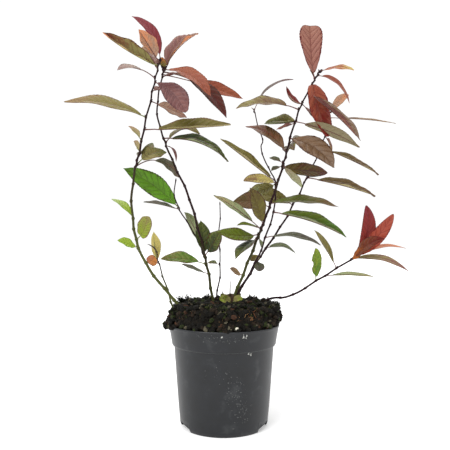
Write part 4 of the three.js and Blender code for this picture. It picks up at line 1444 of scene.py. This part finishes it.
def build_crumbs():
    """Crumbs and clods of peat over the ball, and clods that have spilt over the rim."""
    chance = np.random.default_rng(SEED + 1)
    skin = Skin()
    slots = soil_slots(skin, CRUMBS)

    def pick():
        drawn = chance.random()
        return slots[next(kind for share, kind in CRUMB_SHARES if drawn < share)]

    for _ in range(CRUMB_COUNT):
        at = on_soil(chance, 0.0 if chance.random() < 0.4 else 0.5)[2]
        size = between(chance, CRUMB_SIZE, 2)
        add_lump(skin, pick(), at + Z_AXIS * 0.6 * size, size, chance, (1.25, 1, 0.9))
    for _ in range(CLOD_COUNT):
        at = on_soil(chance, 0.35, 0.99)[2]
        size = between(chance, CLOD_SIZE)
        add_lump(skin, pick(), at + Z_AXIS * 0.5 * size, size, chance, (1.3, 1, 0.8))
    for _ in range(HEAP_COUNT):
        middle = on_soil(chance, 0.55, 0.97)[2]
        broad = between(chance, HEAP_BREADTH)
        tall = between(chance, HEAP_HEIGHT)
        for _ in range(HEAP_CLODS):
            rise = chance.random()
            out = broad * (1 - 0.7 * rise) * math.sqrt(chance.random())
            at = middle + polar(out, chance.random() * math.tau, tall * rise)
            add_lump(skin, pick(), at, between(chance, HEAP_SIZE), chance, (1.4, 0.9, 0.7))
    for _ in range(CHIP_COUNT):
        at = on_soil(chance, 0.2, 0.7)[2]
        size = between(chance, CHIP_SIZE)
        add_lump(skin, slots["crumb_brown"], at + Z_AXIS * 2.2, size, chance, (2.0, 0.7, 0.6))
    for bearing, spread, reach, low, pile, count in SPILLS:
        for _ in range(count):
            angle = math.radians(about(chance, bearing, spread))
            rise = chance.random()
            out = POT["rim_radius"] - 4 - 3 * rise + reach * chance.random() * (1 - 0.4 * rise)
            at = polar(out, angle, low + pile * rise)
            add_lump(skin, pick(), at, between(chance, SPILT_SIZE), chance, (1.3, 1, 0.9))
    hand_in_soil(skin, "peat_crumbs")
    grit = Skin()
    slot = grit.slot_of(soil_material("perlite", *PERLITE, 0.8))
    for _ in range(GRAIN_COUNT):
        at = on_soil(chance, 0.3, 1.0)[2]
        add_lump(grit, slot, at + Z_AXIS * 1.4, between(chance, GRAIN_SIZE), chance)
    add_lump(grit, slot, np.array(LARGE_GRAIN), LARGE_GRAIN_SIZE, chance, (1.2, 1, 0.8))
    hand_in_soil(grit, "perlite_bits")


def add_tube(skin, slot, path, radius, sides=5, taper=0.4):
    """A thin closed tube along a list of points."""
    last = len(path) - 1
    points = []
    for row, centre in enumerate(path):
        along = normalised(path[min(row + 1, last)] - path[max(row - 1, 0)])
        helper = Z_AXIS if abs(along[2]) < 0.9 else X_AXIS
        side = normalised(np.cross(helper, along))
        size = radius * (1 - (1 - taper) * row / last)
        points.extend(ring(centre, side, np.cross(along, side), size, sides))
    skin.add(points, bridge(last, sides), slot)


def grow_root(skin, slot, chance, radius, angle, heading, size, lift):
    """One root that wanders over the ball."""
    path = []
    for _ in range(ROOT_STEPS):
        heading += between(chance, ROOT_SWERVE)
        radius += ROOT_STEP * math.cos(heading)
        radius = min(ROOT_GREATEST_RADIUS, max(ROOT_LEAST_RADIUS, radius))
        angle += ROOT_STEP * math.sin(heading) / radius
        above = lift + 0.9 * chance.random()
        path.append(polar(radius, angle, soil_height(radius, angle) + above))
    add_tube(skin, slot, path, size)


def build_roots():
    """Fine pale roots that show at the root ball's face."""
    chance = np.random.default_rng(SEED + 2)
    skin = Skin()
    slots = soil_slots(skin, ROOTS)
    for _ in range(ROOT_COUNT):
        radius, angle, _ = on_soil(chance, 0.55, 0.985)
        slot = slots["root_pale" if chance.random() < 0.3 else "root_brown"]
        heading = chance.random() * math.tau
        grow_root(skin, slot, chance, radius, angle, heading, between(chance, ROOT_SIZE), 1.6)
    for _ in range(BUNDLE_COUNT):
        angle = math.radians(between(chance, BUNDLE_BEARING))
        slot = slots["root_pale" if chance.random() < 0.6 else "root_brown"]
        radius = between(chance, BUNDLE_RADIUS)
        heading = between(chance, (-1.2, 1.2))
        grow_root(skin, slot, chance, radius, angle, heading, between(chance, BUNDLE_SIZE), 3.0)
    hand_in_soil(skin, "fine_roots", smooth=True)


def grow_moss_shoot(skin, slot, foot, tall, chance, outward=0.0, size=1.0):
    """One shoot of moss: a short stem with thin pointed leaves that stand out of it."""
    lean = (chance.random(2) - 0.5) * 1.2
    way = normalised(Z_AXIS + np.array([*lean, 0.0]) + outward)
    add_tube(skin, slot, [foot, foot + way * tall], 0.3, 3, 0.5)
    turn = chance.random() * math.tau
    for step in range(SHOOT_LEAVES):
        turn += 2.4
        at = foot + way * tall * (0.3 + 0.14 * step)
        out = polar(1, turn, 0.35)
        wide = polar(0.55 * size, turn + math.pi / 2, 0)
        points = [at - wide, at + wide, at + out * 2.1 * size, at - way * 0.4 * size + out * 0.5]
        skin.add(points, [(0, 1, 2), (1, 0, 3), (0, 2, 3), (2, 1, 3)], slot)


def build_moss():
    """Dark tufts of moss in patches: upright shoots with tiny leaves along them."""
    chance = np.random.default_rng(SEED + 3)
    skin = Skin()
    dark, green, yellow = soil_slots(skin, MOSSES).values()
    patches = [(on_soil(chance, 0.3, 0.99), between(chance, PATCH_SIZE)) for _ in range(PATCH_COUNT)]
    for (radius, angle, _), size in patches:
        for _ in range(int(size * size * 0.75)):
            away = size * math.sqrt(chance.random())
            foot = polar(radius, angle, 0.5) + polar(away, chance.random() * math.tau, 0)
            foot_radius = math.hypot(foot[0], foot[1])
            if foot_radius > SOIL["shoulder_radius"] - 1:
                continue
            foot[2] += soil_height(foot_radius, math.atan2(foot[1], foot[0]))
            share = chance.random()
            slot = dark if share < 0.7 else green if share < 0.96 else yellow
            grow_moss_shoot(skin, slot, foot, between(chance, SHOOT_LENGTH, 1.5), chance)
    for bearing, radius, height, breadth, count, tall in TUFTS:
        angle = math.radians(bearing)
        for _ in range(count):
            foot = polar(radius, angle, height) + (chance.random(3) - 0.5) * 1.4 * breadth
            slot = dark if chance.random() < 0.86 else green
            length = tall * between(chance, (0.5, 1.1))
            grow_moss_shoot(skin, slot, foot, length, chance, polar(0.5, angle, 0), 2.0)
    hand_in_soil(skin, "moss")


# Crown.
OLD_WOOD = ((42, 32, 24), (84, 64, 46), 0.8)
CROWN_SIDES = 40
CROWN_RINGS = 26
# Knobs: how many, how far from the middle, and their size.
KNOB_COUNT = 9
KNOB_REACH = (5, 13)
KNOB_SIZE = (2.6, 4.8)
# Young leaves at the crown: where each springs from, and the leaf.
BASAL_LEAVES = (
    ((10, -12, 187), leaf(187, (-17, -5, 5), 15, 0.9, 3, "basal", 1, "oval")),
    ((14, -12, 188), leaf(188, (14, -4, 4), 13, 0.85, 2.5, "basal", 1, "oval")),
    ((6, -11, 189), leaf(189, (-6, -6, 7), 10, 0.9, 1, "basal", 1, "oval")),
    ((15, 12, 188), leaf(188, (12, 9, 8), 10, -0.7, 1.5, "basal", 1, "oval")),
    ((5, 13, 188), leaf(188, (-11, 10, 6), 11, -0.7, 1.5, "basal", 1, "oval")),
)
# The corner of the map that no leaf takes, for their stalks.
STALK_SPOT = (0.99, 0.99)
# Dead stubs: foot and top of each.
STUBS = (
    ((9, -6, 190), (9.5, -8, 219)),
    ((19, 0, 188), (24, 3, 203)),
    ((2, 6, 188), (-3, 9, 202)),
)
STUB_RADIUS = 1.0


def build_crown():
    """The knobby foot of old wood, with its cut stubs and a few young leaves."""
    chance = np.random.default_rng(SEED + 4)
    skin = Skin()
    slot = skin.slot_of(soil_material("old_wood", *OLD_WOOD))
    centre = np.array([*CROWN["at"], 0.0])
    neck = CROWN["neck_radius"] * 0.4
    points = []
    for row in range(CROWN_RINGS + 1):
        share = row / CROWN_RINGS
        height = CROWN["foot"] + (CROWN["top"] - CROWN["foot"]) * share
        radius = neck + (CROWN["radius"] - neck) * math.sqrt(max(0.0, 1 - share**3))
        for angle in turns(CROWN_SIDES):
            spot = Vector(polar(radius, angle, height))
            bump = 1.6 * noise.noise(spot * 0.16) + 0.7 * noise.noise(spot * 0.5)
            points.append(centre + polar(radius + bump * (1 - 0.6 * share), angle, height))
    skin.add(points, bridge(CROWN_RINGS, CROWN_SIDES), slot)
    for _ in range(KNOB_COUNT):
        angle = chance.random() * math.tau
        reach = between(chance, KNOB_REACH)
        at = centre + polar(reach, angle, CROWN["top"] - 7 - reach * 0.4)
        add_lump(skin, slot, at, between(chance, KNOB_SIZE), chance)
    for stub in STUBS:
        foot, top = np.array(stub)
        add_tube(skin, slot, [foot, (foot + top) / 2, top], STUB_RADIUS, 8, 0.6)
    crown = skin.finish("root_crown_wood")
    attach(crown, "root")
    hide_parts("root_crown")

    basal = Skin()
    slot = basal.slot_of(new_material("basal_stalk", linear(BASAL_STALK), 0.45))
    for cell, (root, plan) in enumerate(BASAL_LEAVES):
        grown = Leaf(np.array(root), plan, cell, chance)
        grown.build_blade(basal)
        points, faces = grown.stalk()
        basal.add(points, faces, slot, [STALK_SPOT] * sum(len(face) for face in faces))
    leaves = basal.finish("basal_leaves")
    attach(leaves, "root")


# Studio. The photograph's camera, in metres: how far in front of the pot's axis and how high it stands. The
# focal length, the photograph's side and the place of the axis and the camera's height are pixels.
EYE = {"distance": 0.855, "height": 0.288, "focal_pixels": 555, "frame_pixels": 450}
AXIS_PIXEL = (224, 236)
SENSOR = 36
WHITE = (1, 1, 1, 1)
FLOOR_SIDES = 64
FLOOR_REACH = 9000
FLOOR_GLOW = 0.3
AIR_STRENGTH = 0.42
# The paper behind the plant is blown out to white, as in the photograph, and shiny surfaces mirror
# the bright paper too, which gives the pot its pale sides.
PAPER_STRENGTH = {"Is Camera Ray": 1.05, "Is Glossy Ray": 1.3}
# Large soft lights, as even as daylight: their places only set where they shine from.
LIGHTS = (
    ("key", (-0.9, -1.2, 1.5), 35, 1.9),
    ("fill", (1.3, -0.9, 0.8), 80, 0.5),
    ("top", (0.1, 0.5, 1.9), 70, 1.4),
)


def build_camera():
    """The camera of the photograph."""
    scene = bpy.context.scene
    view = bpy.data.cameras.new("photo_view")
    camera = bpy.data.objects.new("photo_view", view)
    scene.collection.objects.link(camera)
    camera.location = (0, -EYE["distance"], EYE["height"])
    camera.rotation_euler = (math.pi / 2, 0, 0)
    frame = EYE["frame_pixels"]
    view.sensor_width = SENSOR
    view.lens = SENSOR * EYE["focal_pixels"] / frame
    view.shift_x = (frame / 2 - AXIS_PIXEL[0]) / frame
    view.shift_y = (AXIS_PIXEL[1] - frame / 2) / frame
    view.clip_start = 0.02
    view.clip_end = 60
    scene.camera = camera


def build_floor():
    """A white floor that shines a little, like lit paper."""
    skin = Skin()
    white = new_material("studio_white", (0.92, 0.92, 0.92, 1), 0.9, 0.1)
    sockets = white.node_tree.nodes["Principled BSDF"].inputs
    sockets["Emission Color"].default_value = WHITE
    sockets["Emission Strength"].default_value = FLOOR_GLOW
    points = [polar(FLOOR_REACH, angle, 0) for angle in turns(FLOOR_SIDES)]
    skin.add(points, [range(FLOOR_SIDES)], skin.slot_of(white))
    floor = skin.finish("studio_floor", smooth=False)


def build_air():
    """White air all round, which looks brighter straight to the camera and in a shiny surface."""
    world = bpy.data.worlds.new("studio_air")
    world.use_nodes = True
    tree = world.node_tree
    rays = add_node(tree, "LightPath")
    shown = tree.nodes["Background"]
    shown.inputs["Color"].default_value = WHITE
    shown.inputs["Strength"].default_value = AIR_STRENGTH
    for kind, strength in PAPER_STRENGTH.items():
        paper = add_node(tree, "Background", Color=WHITE, Strength=strength)
        mix = add_node(tree, "MixShader")
        link(tree, rays, kind, mix, "Fac")
        link(tree, shown, 0, mix, 1)
        link(tree, paper, 0, mix, 2)
        shown = mix
    link(tree, shown, 0, tree.nodes["World Output"], "Surface")
    bpy.context.scene.world = world


def build_lights():
    """The soft lights, each turned to the middle of the pot's foot."""
    for name, place, spread, power in LIGHTS:
        light = bpy.data.lights.new(name, "SUN")
        light.angle = math.radians(spread)
        light.energy = power
        lamp = bpy.data.objects.new(name, light)
        bpy.context.scene.collection.objects.link(lamp)
        lamp.location = place
        lamp.rotation_euler = (-Vector(place)).to_track_quat("-Z", "Y").to_euler()


build_camera()
build_floor()
build_air()
build_lights()
bpy.context.scene.view_settings.view_transform = "Standard"
bpy.context.scene.view_settings.look = "None"

build_pot()
build_specks()
build_soil()
build_crumbs()
build_roots()
build_moss()
build_crown()
grow_plant()
